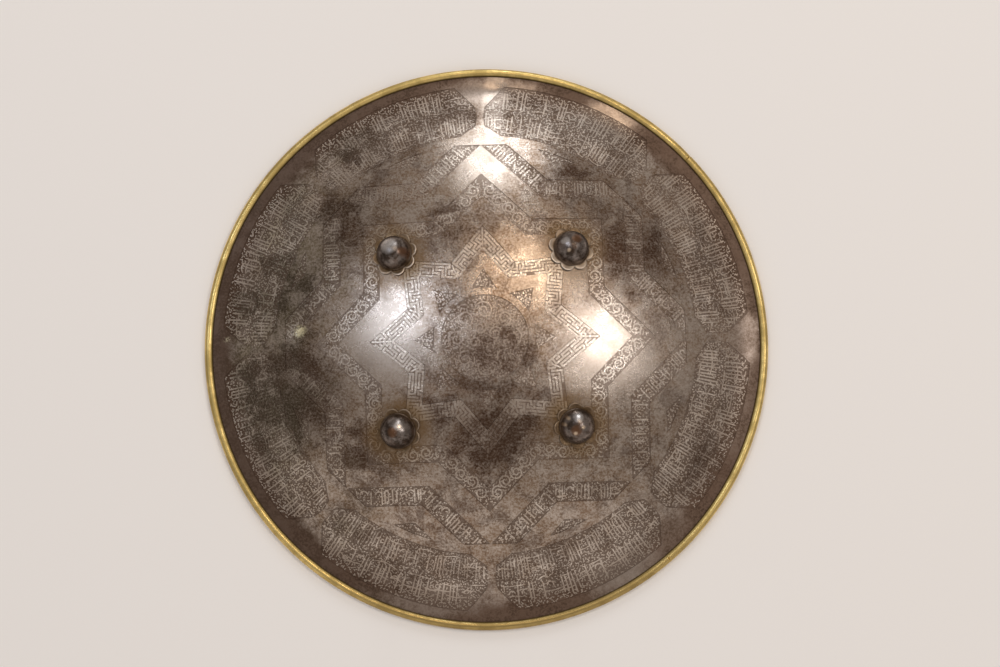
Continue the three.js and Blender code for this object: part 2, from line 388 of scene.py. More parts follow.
def store_numbers(piece: Piece, numbers: dict[str, Sequence[float]]) -> None:
    """Store named numbers on the points of a piece.

    Args:
        piece: Object to store them on.
        numbers: One number for each point, by name.
    """
    for label, values in numbers.items():
        piece.data.attributes.new(label, "FLOAT", "POINT").data.foreach_set("value", values)


def ring_faces(rings: int, points: int, closed_rows: bool) -> list[tuple[int, int, int, int]]:
    """Quads of a grid that closes round its rings.

    Args:
        rings: Number of sections round the axis.
        points: Points in a section.
        closed_rows: Whether a section closes on itself.

    Returns:
        Faces over points numbered section by section.
    """
    last = points if closed_rows else points - 1
    faces = []
    for ring in range(rings):
        following = (ring + 1) % rings
        for point in range(last):
            after = (point + 1) % points
            faces.append((ring * points + point, following * points + point,
                          following * points + after, ring * points + after))
    return faces


def triangle_count(piece: Piece) -> int:
    """Number of triangles in a piece."""
    return sum(len(face.vertices) - 2 for face in piece.data.polygons)


def join_body(piece: Piece, slot: Slot, node: str | None = None) -> None:
    """Put a finished piece on the shield and log it.

    Args:
        piece: Finished object.
        slot: Record slot that its finish belongs to; not used.
        node: Solid that it stands for, if any.
    """
    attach(piece, "root")
    if node is not None:
        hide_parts(node)
    LOG.info("%s: %d triangles", piece.name, triangle_count(piece))


# Shader parts


class Nodes:
    """Short way to add and link nodes in one tree."""

    def __init__(self, tree: Tree) -> None:
        """Start on an empty tree."""
        self.tree = tree
        tree.nodes.clear()

    def feed(self, entry: Socket, value: object) -> None:
        """Link a socket to an input, or set the input to a plain value.

        Args:
            entry: Input to feed.
            value: Socket or plain value.
        """
        if isinstance(value, Socket):
            self.tree.links.new(value, entry)
        else:
            entry.default_value = value

    def add(self, kind: str, links: dict[str | int, object] | None = None, **settings: object) -> bpy.types.Node:
        """New node with settings, and its inputs linked or set.

        Args:
            kind: Node type.
            links: Input name or index to a socket or a plain value.
            settings: Properties of the node.

        Returns:
            The node.
        """
        node = self.tree.nodes.new(kind)
        for key, value in settings.items():
            setattr(node, key, value)
        for key, value in (links or {}).items():
            self.feed(node.inputs[key], value)
        return node

    def first(self, kind: str, links: dict[str | int, object] | None = None, **settings: object) -> Socket:
        """First output of a new node."""
        return self.add(kind, links, **settings).outputs[0]

    def math(self, operation: str, first: object, second: object, clamp: bool = False) -> Socket:
        """Result of one sum on two values or sockets."""
        return self.first("ShaderNodeMath", {0: first, 1: second}, operation=operation, use_clamp=clamp)

    def plus(self, first: object, second: object, clamp: bool = False) -> Socket:
        """Sum of two values."""
        return self.math("ADD", first, second, clamp)

    def less(self, first: object, second: object, clamp: bool = False) -> Socket:
        """First value less the second."""
        return self.math("SUBTRACT", first, second, clamp)

    def times(self, first: object, second: object, clamp: bool = False) -> Socket:
        """Product of two values."""
        return self.math("MULTIPLY", first, second, clamp)

    def most(self, first: object, second: object) -> Socket:
        """Larger of two values."""
        return self.math("MAXIMUM", first, second)

    def rest(self, mask: object, share: float) -> Socket:
        """What a share of a mask leaves of one."""
        return self.less(1.0, self.times(mask, share))

    def line(self, value: object, slope: float, start: float) -> Socket:
        """Value times a slope, plus a start."""
        return self.plus(self.times(value, slope), start)

    def vector(self, operation: str, first: object, second: object = (0.0, 0.0, 0.0)) -> Socket:
        """Result of one sum on two vectors, a number where the sum gives one."""
        node = self.add("ShaderNodeVectorMath", {0: first, 1: second}, operation=operation)
        return node.outputs["Value" if operation in ("DISTANCE", "DOT_PRODUCT", "LENGTH") else "Vector"]

    def spread(self, value: object, low: float, high: float, to_low: float = 0.0, to_high: float = 1.0) -> Socket:
        """Value mapped smoothly from one range to another."""
        links = {"Value": value, "From Min": low, "From Max": high, "To Min": to_low, "To Max": to_high}
        return self.add("ShaderNodeMapRange", links, interpolation_type="SMOOTHSTEP").outputs["Result"]

    def mix(self, share: object, first: object, second: object) -> Socket:
        """Colour between two colours or sockets."""
        ends = [(*value, 1.0) if isinstance(value, tuple) else value for value in (first, second)]
        return self.add("ShaderNodeMix", {0: share, 6: ends[0], 7: ends[1]}, data_type="RGBA").outputs[2]

    def noise(self, place: object, scale: object, detail: float, rough: float, distortion: float = 0.0) -> Socket:
        """Value of a cloud texture."""
        links = {"Vector": place, "Scale": scale, "Detail": detail, "Roughness": rough, "Distortion": distortion}
        return self.add("ShaderNodeTexNoise", links).outputs["Fac"]


def new_group(name: str, inputs: dict[str, float], outputs: Sequence[str]) -> Tree:
    """Shader group with a place input, number inputs and mask outputs.

    Args:
        name: Group name.
        inputs: Number inputs with their first values.
        outputs: Mask outputs.

    Returns:
        Empty group tree with its sockets.
    """
    tree = bpy.data.node_groups.new(name, "ShaderNodeTree")
    tree.interface.new_socket("Place", in_out="INPUT", socket_type="NodeSocketVector")
    for label, value in inputs.items():
        tree.interface.new_socket(label, in_out="INPUT", socket_type="NodeSocketFloat").default_value = value
    for label in outputs:
        tree.interface.new_socket(label, in_out="OUTPUT", socket_type="NodeSocketFloat")
    return tree


@dataclass(frozen=True)
class Patch:
    """Oval patch of a finish: dark stain, rubbed or polished area, or painted glint, in millimetres.

    Args:
        x: Middle along X.
        y: Middle along Y.
        width: Half width along X.
        height: Half width along Y.
        strength: Strength at the middle.
    """

    x: float
    y: float
    width: float
    height: float
    strength: float


@dataclass(frozen=True)
class SurfaceEffects:
    """Shader groups that more than one finish uses."""

    stains: tuple[Patch, ...] = tuple(Patch(*row) for row in (
        (2, -78, 34, 30, 1.0), (4, -60, 60, 32, 0.5), (12, -12, 28, 26, 0.6), (-160, -40, 54, 48, 0.9),
        (-165, 45, 46, 42, 0.6), (-110, 92, 26, 38, 0.7), (-95, 165, 30, 18, 0.7), (125, 68, 32, 36, 0.75),
        (182, -100, 26, 28, 0.45), (72, 125, 32, 26, 0.45), (-88, -78, 34, 30, 0.4), (-30, 88, 30, 22, 0.5),
        (3, -108, 24, 18, 0.35),
    ))
    rubbed: tuple[Patch, ...] = tuple(Patch(*row) for row in (
        (-85, 122, 74, 58, 0.9), (20, 106, 60, 30, 0.7), (128, 108, 56, 56, 0.7), (-152, -30, 66, 62, 0.8),
        (5, -68, 60, 40, 0.9), (8, -3, 44, 44, 1.0), (-60, 20, 22, 26, 0.3), (14, 192, 18, 36, 0.35),
        (138, 4, 40, 56, 0.5), (200, 2, 30, 34, 0.6),
    ))
    polished: tuple[Patch, ...] = tuple(Patch(*row) for row in (
        (-78, 6, 44, 46, 1.0), (96, -6, 46, 50, 1.0), (4, 148, 36, 34, 0.9), (52, 56, 40, 30, 0.6),
        (14, 207, 14, 30, 0.95), (206, 1, 15, 16, 0.45), (12, 184, 14, 24, 0.8), (168, -42, 52, 70, 0.3),
        (104, 183, 36, 22, 0.8), (104, -183, 38, 24, 0.95), (209, 0, 13, 44, 0.52), (10, 209, 44, 13, 0.8),
        (-50, -204, 70, 14, 0.5), (122, -148, 42, 32, 0.35),
    ))
    # Painted glints: spots of pale colour that stand in for light reflected off the plate.
    painted_glint: tuple[Patch, ...] = tuple(Patch(*row) for row in (
        (-148, 12, 7, 6.5, 0.85), (-211, 11, 4.5, 3.5, 0.3),
    ))
    patch_edge: Point = (0.35, 1.25)
    halo_radii: Point = (0.0185, 0.034)
    scratch_runs: tuple[Point, ...] = ((0.4, 26.0), (1.9, 34.0), (2.7, 20.0))

    def mottle(self) -> Tree:
        """Group of cloudy patina, ragged blotches, slow drift of hue, fine speckle, pale flecks and pits.

        Returns:
            Group with Cloud, Blotch, Drift, Speckle, Fleck and Pits outputs.
        """
        tree = new_group("Mottled patina", {"Cloud Scale": 22.0, "Speckle Scale": 560.0},
                         ("Cloud", "Blotch", "Drift", "Speckle", "Fleck", "Pits"))
        nodes = Nodes(tree)
        given = nodes.add("NodeGroupInput").outputs
        place, fine = given["Place"], given["Speckle Scale"]
        cloud = nodes.noise(place, given["Cloud Scale"], 7.0, 0.7)
        wide = nodes.noise(place, 34.0, 9.0, 0.74, 0.4)
        speckle = nodes.noise(place, fine, 4.0, 0.75)
        grainy = nodes.plus(wide, nodes.times(nodes.less(speckle, 0.5), 0.16))
        cells = nodes.add("ShaderNodeTexVoronoi", {"Vector": place, "Scale": 330.0}).outputs["Distance"]
        drift = nodes.noise(place, 12.0, 3.0, 0.6)
        fleck = nodes.noise(place, nodes.times(fine, 1.5), 2.0, 0.6)
        nodes.add("NodeGroupOutput", {
            "Cloud": nodes.spread(cloud, 0.38, 0.62),
            "Drift": nodes.spread(drift, 0.4, 0.6),
            "Blotch": nodes.spread(grainy, 0.45, 0.6),
            "Speckle": nodes.spread(speckle, 0.41, 0.6),
            "Fleck": nodes.spread(fleck, 0.55, 0.68),
            "Pits": nodes.times(nodes.spread(cells, 0.05, 0.3, 1.0, 0.0), nodes.spread(speckle, 0.5, 0.62)),
        })
        return tree

    def placed_stains(self) -> Tree:
        """Group of the large dark patches, the rubbed and polished areas, the painted glints and the rusty rings round
        the bosses.

        Returns:
            Group with Stain, Rubbed, Polished, painted glint and Halo outputs.
        """
        tree = new_group("Placed stains", {"Ragged": 0.035}, ("Stain", "Rubbed", "Polished", "Bare", "Halo"))
        nodes = Nodes(tree)
        given = nodes.add("NodeGroupInput").outputs
        place = given["Place"]
        rough = nodes.add("ShaderNodeTexNoise", {"Vector": place, "Scale": 30.0, "Detail": 5.0}).outputs
        centred = nodes.vector("SUBTRACT", rough["Color"], (0.5, 0.5, 0.5))
        shift = nodes.first("ShaderNodeVectorMath", {0: centred, "Scale": given["Ragged"]}, operation="SCALE")
        moved = nodes.vector("ADD", place, shift)
        folded = nodes.vector("MULTIPLY", nodes.vector("ABSOLUTE", place), PLAN)
        corner = BOSS_CIRCLE * MM / math.sqrt(2.0)
        ring = nodes.spread(nodes.vector("DISTANCE", folded, (corner, corner, 0.0)), *self.halo_radii, 1.0, 0.0)
        nodes.add("NodeGroupOutput", {
            "Stain": self.patches(nodes, moved, self.stains),
            "Rubbed": self.patches(nodes, moved, self.rubbed),
            "Polished": self.patches(nodes, moved, self.polished),
            # painted glint mask: pale spots that stand in for reflected light
            "Bare": self.patches(nodes, place, self.painted_glint),
            "Halo": nodes.times(ring, nodes.spread(rough["Fac"], 0.35, 0.6, 0.5, 1.0)),
        })
        return tree

    def patches(self, nodes: Nodes, place: Socket, patches: Iterable[Patch]) -> object:
        """Soft oval patches joined into one mask.

        Args:
            nodes: Tree to add to.
            place: Place socket.
            patches: Patches to join.

        Returns:
            Socket of the mask.
        """
        total: object = 0.0
        for patch in patches:
            local = nodes.vector("ADD", place, (-patch.x * MM, -patch.y * MM, 0.0))
            sized = nodes.vector("MULTIPLY", local, (1.0 / (patch.width * MM), 1.0 / (patch.height * MM), 0.0))
            away = nodes.vector("LENGTH", sized)
            total = nodes.most(nodes.spread(away, *self.patch_edge, patch.strength, 0.0), total)
        return total

    def scratches(self) -> Tree:
        """Group of fine crossing scratches.

        Returns:
            Group with a Scratch output.
        """
        tree = new_group("Fine scratches", {"Scale": 60.0}, ("Scratch",))
        nodes = Nodes(tree)
        given = nodes.add("NodeGroupInput").outputs
        lines: object = 0.0
        for turn, stretch in self.scratch_runs:
            links = {"Vector": given["Place"], "Rotation": (0.0, 0.0, turn), "Scale": (1.0, stretch, 1.0)}
            streak = nodes.noise(nodes.first("ShaderNodeMapping", links), given["Scale"], 2.0, 0.5)
            lines = nodes.most(nodes.spread(streak, 0.66, 0.74), lines)
        nodes.add("NodeGroupOutput", {"Scratch": lines})
        return tree


class Finish:
    """Base of the finishes: a material with the shared groups placed in it."""

    name = "finish"
    bump_height: float = 0.0003

    def __init__(self, groups: dict[str, Tree]) -> None:
        """Make the material.

        Args:
            groups: Shared shader groups by short name.
        """
        self.material = bpy.data.materials.new(self.name)
        self.material.use_nodes = True
        self.nodes = Nodes(self.material.node_tree)
        self.groups = groups
        self.place = self.nodes.add("ShaderNodeTexCoord").outputs["Object"]
        self.shader = self.nodes.add("ShaderNodeBsdfPrincipled")
        self.nodes.add("ShaderNodeOutputMaterial", {"Surface": self.shader.outputs[0]})
        self.dress()

    def use(self, group: str, **values: float) -> Sockets:
        """Place one shared group.

        Args:
            group: Short name of the group.
            values: Its number inputs, with spaces as underscores.

        Returns:
            Its outputs by name.
        """
        links = {label.replace("_", " "): value for label, value in values.items()}
        node = self.nodes.add("ShaderNodeGroup", {"Place": self.place, **links}, node_tree=self.groups[group])
        return {socket.name: socket for socket in node.outputs}

    def attribute(self, name: str) -> Socket:
        """Value of a number stored on the piece's points."""
        return self.nodes.add("ShaderNodeAttribute", attribute_name=name).outputs["Fac"]

    def axis_distance(self) -> Socket:
        """Distance from the shield's axis in metres."""
        return self.nodes.vector("LENGTH", self.nodes.vector("MULTIPLY", self.place, PLAN))

    def across(self) -> Socket:
        """Place along X in metres."""
        return self.nodes.add("ShaderNodeSeparateXYZ", {0: self.place}).outputs["X"]

    def tinted(self, colour: Socket, tints: Iterable[tuple[object, Colour]]) -> Socket:
        """Lay tints over a colour, one after the other.

        Args:
            colour: Colour under them.
            tints: Share and colour of each.

        Returns:
            Colour with the tints.
        """
        for share, tint in tints:
            colour = self.nodes.mix(share, colour, tint)
        return colour

    def plug(self, label: str, value: object) -> None:
        """Link or set the shader's named input."""
        self.nodes.feed(self.shader.inputs[label], value)

    def bump(self, height: Socket, strength: float) -> None:
        """Raise the shading by a share of a height."""
        links = {"Height": height, "Strength": strength, "Distance": self.bump_height}
        self.plug("Normal", self.nodes.first("ShaderNodeBump", links))

    def dress(self) -> None:
        """Fill the material."""
        raise NotImplementedError


class SteelFinish(Finish):
    """Base of the plate's finishes: steel that clouds to brown, with dark blotches, stains and rusty rings."""

    worn: Colour = (0.51, 0.425, 0.36)
    brown: Colour = (0.25, 0.16, 0.104)
    olive: Colour = (0.225, 0.18, 0.112)
    stained: Colour = (0.08, 0.042, 0.026)
    sooty: Colour = (0.078, 0.058, 0.038)
    rust: Colour = (0.165, 0.093, 0.036)
    cloud_scale: float = 60.0
    cleaned_share: float = 0.8
    blotch_share: float = 0.62
    fleck_share: float = 0.6
    rust_share: float = 0.84
    rust_dulling: float = 0.55
    olive_side: Point = (-0.16, -0.06)

    def marks(self) -> Sockets:
        """Masks of the placed patches, by name."""
        return self.use("stains")

    def patina(self) -> tuple[Sockets, Sockets, Socket, Socket]:
        """Patina that runs over plain steel and ornament alike.

        Returns:
            Masks of the mottle, masks of the placed patches, colour and darkness.
        """
        nodes = self.nodes
        mottle, stains = self.use("mottle", Cloud_Scale=self.cloud_scale), self.marks()
        dirty = nodes.rest(stains["Polished"], self.cleaned_share)
        olive = nodes.spread(self.across(), *self.olive_side, 1.0, 0.15)
        hue = nodes.times(olive, nodes.line(mottle["Drift"], 0.7, 0.3))
        cloud = nodes.less(nodes.plus(nodes.times(mottle["Cloud"], 0.6), nodes.times(mottle["Speckle"], 0.7)), 0.1)
        colour = nodes.mix(nodes.times(cloud, dirty, True), self.worn, nodes.mix(hue, self.brown, self.olive))
        blotch = nodes.times(nodes.times(mottle["Blotch"], self.blotch_share), dirty)
        stain = nodes.times(stains["Stain"], nodes.line(mottle["Cloud"], 0.35, 0.75))
        dark = nodes.times(nodes.plus(blotch, stain, True), nodes.line(mottle["Speckle"], 0.26, 0.8))
        colour = nodes.mix(dark, colour, nodes.mix(hue, self.stained, self.sooty))
        shown = nodes.times(nodes.rest(dark, 0.7), nodes.times(dirty, self.fleck_share))
        return mottle, stains, nodes.mix(nodes.times(mottle["Fleck"], shown), colour, self.worn), dark

    def rusted(self, colour: Socket, halo: Socket) -> Socket:
        """Colour with the rusty rings laid over it."""
        return self.nodes.mix(self.nodes.times(halo, self.rust_share), colour, self.rust)

    def metal(self, halo: Socket) -> Socket:
        """Share of bare metal outside the rusty rings."""
        return self.nodes.rest(halo, self.rust_dulling)


class PlateFinish(SteelFinish):
    """Brown patinated steel, polished by handling, matt and dark in the sunk ground, darker along the edge as painted
    shade with grime, and with painted glints.
    """

    name = "plate_patina"
    ground: Colour = (0.14, 0.096, 0.072)
    # Colour of the band along the outer edge: painted shade mixed with grime.
    edge: Colour = (0.13, 0.077, 0.05)
    grime: Colour = (0.062, 0.034, 0.02)
    # Pale colour of the painted glints, a painted highlight on the plate.
    painted_glint: Colour = (0.82, 0.73, 0.48)
    ground_share: float = 0.66
    rubbed_share: float = 0.4
    edge_radii: Point = (0.198, 0.2145)
    edge_ragged: float = 0.005
    grimy_side: Point = (-0.2, 0.0)
    dull_radii: Point = (0.165, 0.205)

    def marks(self) -> Sockets:
        """Masks of the placed patches, which only the front shows."""
        outside = self.attribute("outside")
        return {name: self.nodes.times(mask, outside) for name, mask in super().marks().items()}

    def dress(self) -> None:
        """Fill the material."""
        nodes = self.nodes
        mottle, stains, colour, dark = self.patina()
        cloud, speckle, polished = mottle["Cloud"], mottle["Speckle"], stains["Polished"]
        scratch, sunk, away = self.use("scratches")["Scratch"], self.attribute("sunk"), self.axis_distance()
        kept = nodes.less(self.ground_share, nodes.times(stains["Rubbed"], self.rubbed_share))
        # Band along the outer edge by the brass: painted shade with grime, duller and less metallic, with more of the
        # darker grime colour towards the left, cleared by the polished patches.
        ragged = nodes.plus(away, nodes.times(cloud, self.edge_ragged))
        rim = nodes.times(nodes.spread(ragged, *self.edge_radii, 0.0, 0.95), nodes.rest(polished, self.cleaned_share))
        grime = nodes.plus(nodes.times(cloud, speckle), nodes.spread(self.across(), *self.grimy_side, 0.7, 0.0), True)
        colour = self.tinted(colour, ((nodes.times(scratch, 0.3), self.worn), (nodes.times(sunk, kept), self.ground)))
        colour = self.rusted(nodes.mix(rim, colour, nodes.mix(grime, self.edge, self.grime)), stains["Halo"])
        cover = nodes.plus(nodes.times(speckle, 0.5), nodes.times(cloud, 0.5))
        # Painted glint: pale colour laid where the plate should catch light, broken up by the speckle.
        painted_glint = nodes.less(nodes.times(stains["Bare"], 1.5), cover, True)
        self.plug("Base Color", nodes.mix(painted_glint, colour, self.painted_glint))
        self.plug("Specular IOR Level", 0.2)
        self.plug("Metallic", nodes.times(self.metal(stains["Halo"]), nodes.rest(rim, 0.75)))
        rough = nodes.plus(nodes.line(cloud, 0.05, 0.25), nodes.times(dark, 0.06))
        dull = nodes.times(nodes.spread(away, *self.dull_radii, 0.0, 0.16), nodes.less(1.0, polished))
        hollow = nodes.times(sunk, nodes.less(0.15, nodes.times(polished, 0.08)))
        self.plug("Roughness", nodes.plus(nodes.plus(rough, dull), hollow))
        height = nodes.less(speckle, nodes.times(mottle["Pits"], 0.8))
        height = nodes.less(height, nodes.times(scratch, 0.6))
        self.bump(nodes.times(height, nodes.rest(polished, 0.7)), 0.1)


class ReliefFinish(SteelFinish):
    """Worn steel on top of the raised strokes and scrolls, paler than the plate round it."""

    name = "relief_worn"
    worn: Colour = (0.80, 0.70, 0.61)
    brown: Colour = (0.50, 0.39, 0.31)
    olive: Colour = (0.47, 0.40, 0.30)
    stained: Colour = (0.12, 0.073, 0.05)
    sooty: Colour = (0.11, 0.084, 0.056)
    rust: Colour = (0.22, 0.135, 0.06)
    fleck_share: float = 0.3
    faded: Colour = (0.34, 0.265, 0.21)
    dull_radii: Point = (0.15, 0.185)
    edge_radii: Point = (0.192, 0.206)

    def dress(self) -> None:
        """Fill the material."""
        nodes = self.nodes
        mottle, stains, colour, dark = self.patina()
        away = self.axis_distance()
        fading = nodes.most(nodes.times(self.attribute("tone"), 0.5), nodes.times(stains["Rubbed"], 0.8))
        fading = nodes.most(fading, nodes.spread(away, *self.edge_radii, 0.0, 0.9))
        colour = nodes.mix(nodes.times(fading, nodes.less(1.0, dark)), colour, self.faded)
        self.plug("Base Color", self.rusted(colour, stains["Halo"]))
        self.plug("Metallic", self.metal(stains["Halo"]))
        dull = nodes.times(nodes.spread(away, *self.dull_radii, 0.0, 0.2), nodes.less(1.0, stains["Polished"]))
        rough = nodes.plus(nodes.line(mottle["Speckle"], 0.08, 0.26), dull)
        self.plug("Roughness", nodes.plus(rough, nodes.times(dark, 0.08)))
        self.bump(mottle["Speckle"], 0.15)


class BossFinish(Finish):
    """Dark polished steel of the bosses, with brown in the hollows, rusty patches, pale worn spots and a paler painted
    highlight patch.
    """

    name = "boss_polish"
    bright: Colour = (0.27, 0.228, 0.205)
    dark: Colour = (0.05, 0.036, 0.028)
    rust: Colour = (0.11, 0.064, 0.03)
    spot: Colour = (0.60, 0.46, 0.33)
    # Colour of the painted highlight patch on each boss.
    polish: Colour = (0.60, 0.55, 0.52)
    patch: Colour = (0.16, 0.082, 0.046)
    # Pale colour of the petals' lips, a painted highlight.
    lip: Colour = (0.80, 0.67, 0.55)
    smooth: float = 0.27

    def dress(self) -> None:
        """Fill the material."""
        nodes = self.nodes
        mottle = self.use("mottle", Cloud_Scale=95.0, Speckle_Scale=800.0)
        cloud, hollow = mottle["Cloud"], self.attribute("hollow")
        self.plug("Base Color", self.tinted(nodes.mix(cloud, self.bright, self.dark), (
            (nodes.times(mottle["Blotch"], 0.25), self.patch),
            (nodes.times(hollow, 0.75), self.rust),
            # painted highlight: a paler patch where the boss catches light
            (nodes.times(self.attribute("polish"), nodes.rest(cloud, 0.5)), self.polish),
            (self.attribute("patch"), self.patch),
            (self.attribute("spot"), self.spot),
            # painted highlight on the petals' lips
            (self.attribute("lip"), self.lip),
        )))
        self.plug("Roughness", nodes.plus(nodes.line(cloud, 0.14, self.smooth), nodes.times(hollow, 0.25)))
        self.plug("Metallic", 1.0)
        height = nodes.less(cloud, nodes.times(self.use("scratches", Scale=110.0)["Scratch"], 0.25))
        self.bump(nodes.less(height, nodes.times(mottle["Pits"], 0.4)), 0.16)


class WasherFinish(BossFinish):
    """Tan worn steel of the petalled washers, with a painted highlight on the petals' lips."""

    name = "washer_worn"
    bright: Colour = (0.26, 0.178, 0.108)
    dark: Colour = (0.15, 0.096, 0.052)
    rust: Colour = (0.12, 0.072, 0.033)
    smooth: float = 0.36


class BrassFinish(Finish):
    """Yellow brass, rubbed bright on the bead, darker on its lower side as painted shade, and dark brown in the corner
    against the plate as painted shade with tarnish.
    """

    name = "edging_brass"
    bright: Colour = (0.77, 0.565, 0.215)
    tarnished: Colour = (0.46, 0.33, 0.115)
    dark: Colour = (0.12, 0.08, 0.03)
    # Painted shade on the lower side of the brass: a darker colour laid towards one heading.
    lower_shade: Colour = (0.28, 0.185, 0.07)
    lower_shade_heading: float = math.radians(275.0)
    lower_shade_span: Point = (0.145, 0.226)
    # Corner against the plate: painted shade with tarnish, dark and rough.
    corner_radii: Point = (0.2233, 0.2247)

    def dress(self) -> None:
        """Fill the material."""
        nodes = self.nodes
        mottle = self.use("mottle", Cloud_Scale=52.0, Speckle_Scale=500.0)
        cloud, corner = mottle["Cloud"], nodes.spread(self.axis_distance(), *self.corner_radii, 1.0, 0.0)
        along = nodes.vector("DOT_PRODUCT", self.place, (*plan_point(1.0, self.lower_shade_heading), 0.0))
        self.plug("Base Color", self.tinted(nodes.mix(nodes.times(cloud, 0.85), self.bright, self.tarnished), (
            # painted shade on the lower side
            (nodes.spread(along, *self.lower_shade_span, 0.0, 0.62), self.lower_shade),
            (nodes.times(mottle["Pits"], 0.5), self.dark),
            # painted shade with tarnish in the corner against the plate
            (corner, self.dark),
        )))
        self.plug("Roughness", nodes.plus(nodes.line(cloud, 0.16, 0.31), nodes.times(corner, 0.3)))
        self.plug("Metallic", 1.0)
        self.bump(nodes.less(cloud, nodes.times(self.use("scratches", Scale=90.0)["Scratch"], 0.5)), 0.14)


# Strokes of the ornament


@dataclass
class Stroke:
    """One raised mark in plan.

    Args:
        path: Points in millimetres.
        width: Width in millimetres.
        taper: Share of the width left at the ends.
    """

    path: list[Point]
    width: float
    taper: float = 1.0


class Frame2D:
    """Flat strip or arc of the pattern, with u along it and v across it, in millimetres."""

    length: float = 0.0
    width: float = 0.0

    def at(self, u: float, v: float) -> Point:
        """Plan point of a strip place."""
        raise NotImplementedError

    def holds(self, u: float, v: float, margin: float) -> bool:
        """Whether a strip place lies inside the outline by a margin."""
        raise NotImplementedError

    def clipped(self, places: Sequence[Point], margin: float) -> list[list[Point]]:
        """Runs of a path that stay inside the outline, as plan points.

        Args:
            places: Strip places along the path.
            margin: Distance kept from the outline.

        Returns:
            Plan paths of two points or more.
        """
        runs: list[list[Point]] = [[]]
        for u, v in places:
            if self.holds(u, v, margin):
                runs[-1].append(self.at(u, v))
            elif runs[-1]:
                runs.append([])
        return [run for run in runs if len(run) > 1]


@dataclass
class StarStrip(Frame2D):
    """One side of a star band, from a tip line to the hollow beside it.

    Args:
        tips: Tip radii of the inner and outer lines.
        ratio: Hollow radius over tip radius.
        square_end: Whether the strip is cut square at the inner tip.
        wedge: Number of the wedge it lies in.
        overrun: Length added past the hollow.
        hollow_share: Share of a margin that is kept at the hollow.
    """

    tips: Point
    ratio: float
    square_end: bool
    wedge: int
    overrun: float = 10.0
    hollow_share: float = 0.6

    def __post_init__(self) -> None:
        """Work out the strip's corner, directions and size."""
        tip, hollow = self.tips[0], self.tips[0] * self.ratio
        run = Vector((hollow * math.cos(WEDGE) - tip, hollow * math.sin(WEDGE)))
        self.run = run.normalized()
        self.side = Vector((self.run.y, -self.run.x))
        self.width = (self.tips[1] - tip) * self.side.x
        self.length = run.length + self.overrun
        self.turn = (self.wedge // 2) * 2.0 * WEDGE
        self.hand = -1.0 if self.wedge % 2 else 1.0

    def local(self, u: float, v: float) -> Vector:
        """Point in the first wedge."""
        return Vector((self.tips[0], 0.0)) + self.run * u + self.side * v

    def at(self, u: float, v: float) -> Point:
        """Plan point of a strip place."""
        point = self.local(u, v)
        return plan_point(point.length, self.turn + self.hand * math.atan2(point.y, point.x))

    def holds(self, u: float, v: float, margin: float) -> bool:
        """Whether a strip place lies inside the outline.

        Args:
            u: Place along the strip.
            v: Place across it.
            margin: Distance kept from the outline.

        Returns:
            True inside.
        """
        point = self.local(u, v)
        if not margin <= v <= self.width - margin:
            return False
        past_tip = self.tips[0] - point.x if self.square_end else point.y
        before_hollow = point.x * math.sin(WEDGE) - point.y * math.cos(WEDGE)
        return past_tip >= margin and before_hollow >= margin * self.hollow_share


@dataclass
class PanelArc(Frame2D):
    """One border panel, with u along its middle arc and v outwards.

    Args:
        pattern: Sizes of the pattern.
        number: Number of the panel round the shield.
    """

    pattern: StarPattern
    number: int

    def __post_init__(self) -> None:
        """Work out the panel's size."""
        low, high = self.pattern.panel_radii
        self.middle = (low + high) / 2.0
        self.width = high - low
        self.length = 2.0 * WEDGE * self.middle
        self.inner = self.pattern.panel_side(self.pattern.panel_end_radii[0], low)
        self.outer = self.pattern.panel_side(self.pattern.panel_end_radii[1], high)

    def spot(self, u: float, v: float) -> Point:
        """Radius and angle from the panel's starting tip line."""
        return self.pattern.panel_radii[0] + v, u / self.middle

    def at(self, u: float, v: float) -> Point:
        """Plan point of a strip place."""
        radius, angle = self.spot(u, v)
        return plan_point(radius, angle + self.number * 2.0 * WEDGE)

    def holds(self, u: float, v: float, margin: float) -> bool:
        """Whether a strip place lies inside the outline.

        Args:
            u: Place along the panel.
            v: Place across it.
            margin: Distance kept from the outline.

        Returns:
            True inside.
        """
        radius, angle = self.spot(u, v)
        folded = min(angle, 2.0 * WEDGE - angle) - margin / self.middle
        if folded <= self.pattern.panel_point:
            return False
        return self.inner(folded) + margin <= radius <= self.outer(folded) - margin


@dataclass
class RoundField(Frame2D):
    """Medallion, triangle or spandrel: plan places are strip places, inside a test.

    Args:
        reach: Half size of the square around it.
        centre: Its middle.
        inside: Test of a plan point with a margin.
    """

    reach: float
    centre: Point
    inside: Callable[[float, float, float], bool]

    def __post_init__(self) -> None:
        """Set the square's size."""
        self.length = self.width = 2.0 * self.reach

    def at(self, u: float, v: float) -> Point:
        """Plan point of a strip place."""
        return self.centre[0] - self.reach + u, self.centre[1] - self.reach + v

    def holds(self, u: float, v: float, margin: float) -> bool:
        """Whether a strip place lies inside the outline by a margin."""
        return self.inside(*self.at(u, v), margin)


def arc_places(centre: Point, radius: float, start: float, sweep: float, steps: int,
               end_radius: float | None = None) -> list[Point]:
    """Places along an arc or a spiral.

    Args:
        centre: Middle of the arc.
        radius: Radius at its start.
        start: Angle at its start.
        sweep: Angle it turns through.
        steps: Number of straight steps.
        end_radius: Radius at its end, if it differs.

    Returns:
        Places from start to end.
    """
    growth = 0.0 if end_radius is None else end_radius - radius
    places = []
    for step in range(steps + 1):
        share = step / steps
        x, y = plan_point(radius + growth * share, start + sweep * share)
        places.append((centre[0] + x, centre[1] + y))
    return places


def straight_places(start: Point, run: Point, steps: int) -> list[Point]:
    """Places along a straight line."""
    return [(start[0] + run[0] * step / steps, start[1] + run[1] * step / steps) for step in range(steps + 1)]


def bowed_places(start: Point, span: float, sag: float, steps: int) -> list[Point]:
    """Places along a level line that bows to one side."""
    return [(start[0] + span * step / steps, start[1] + sag * math.sin(math.pi * step / steps))
            for step in range(steps + 1)]


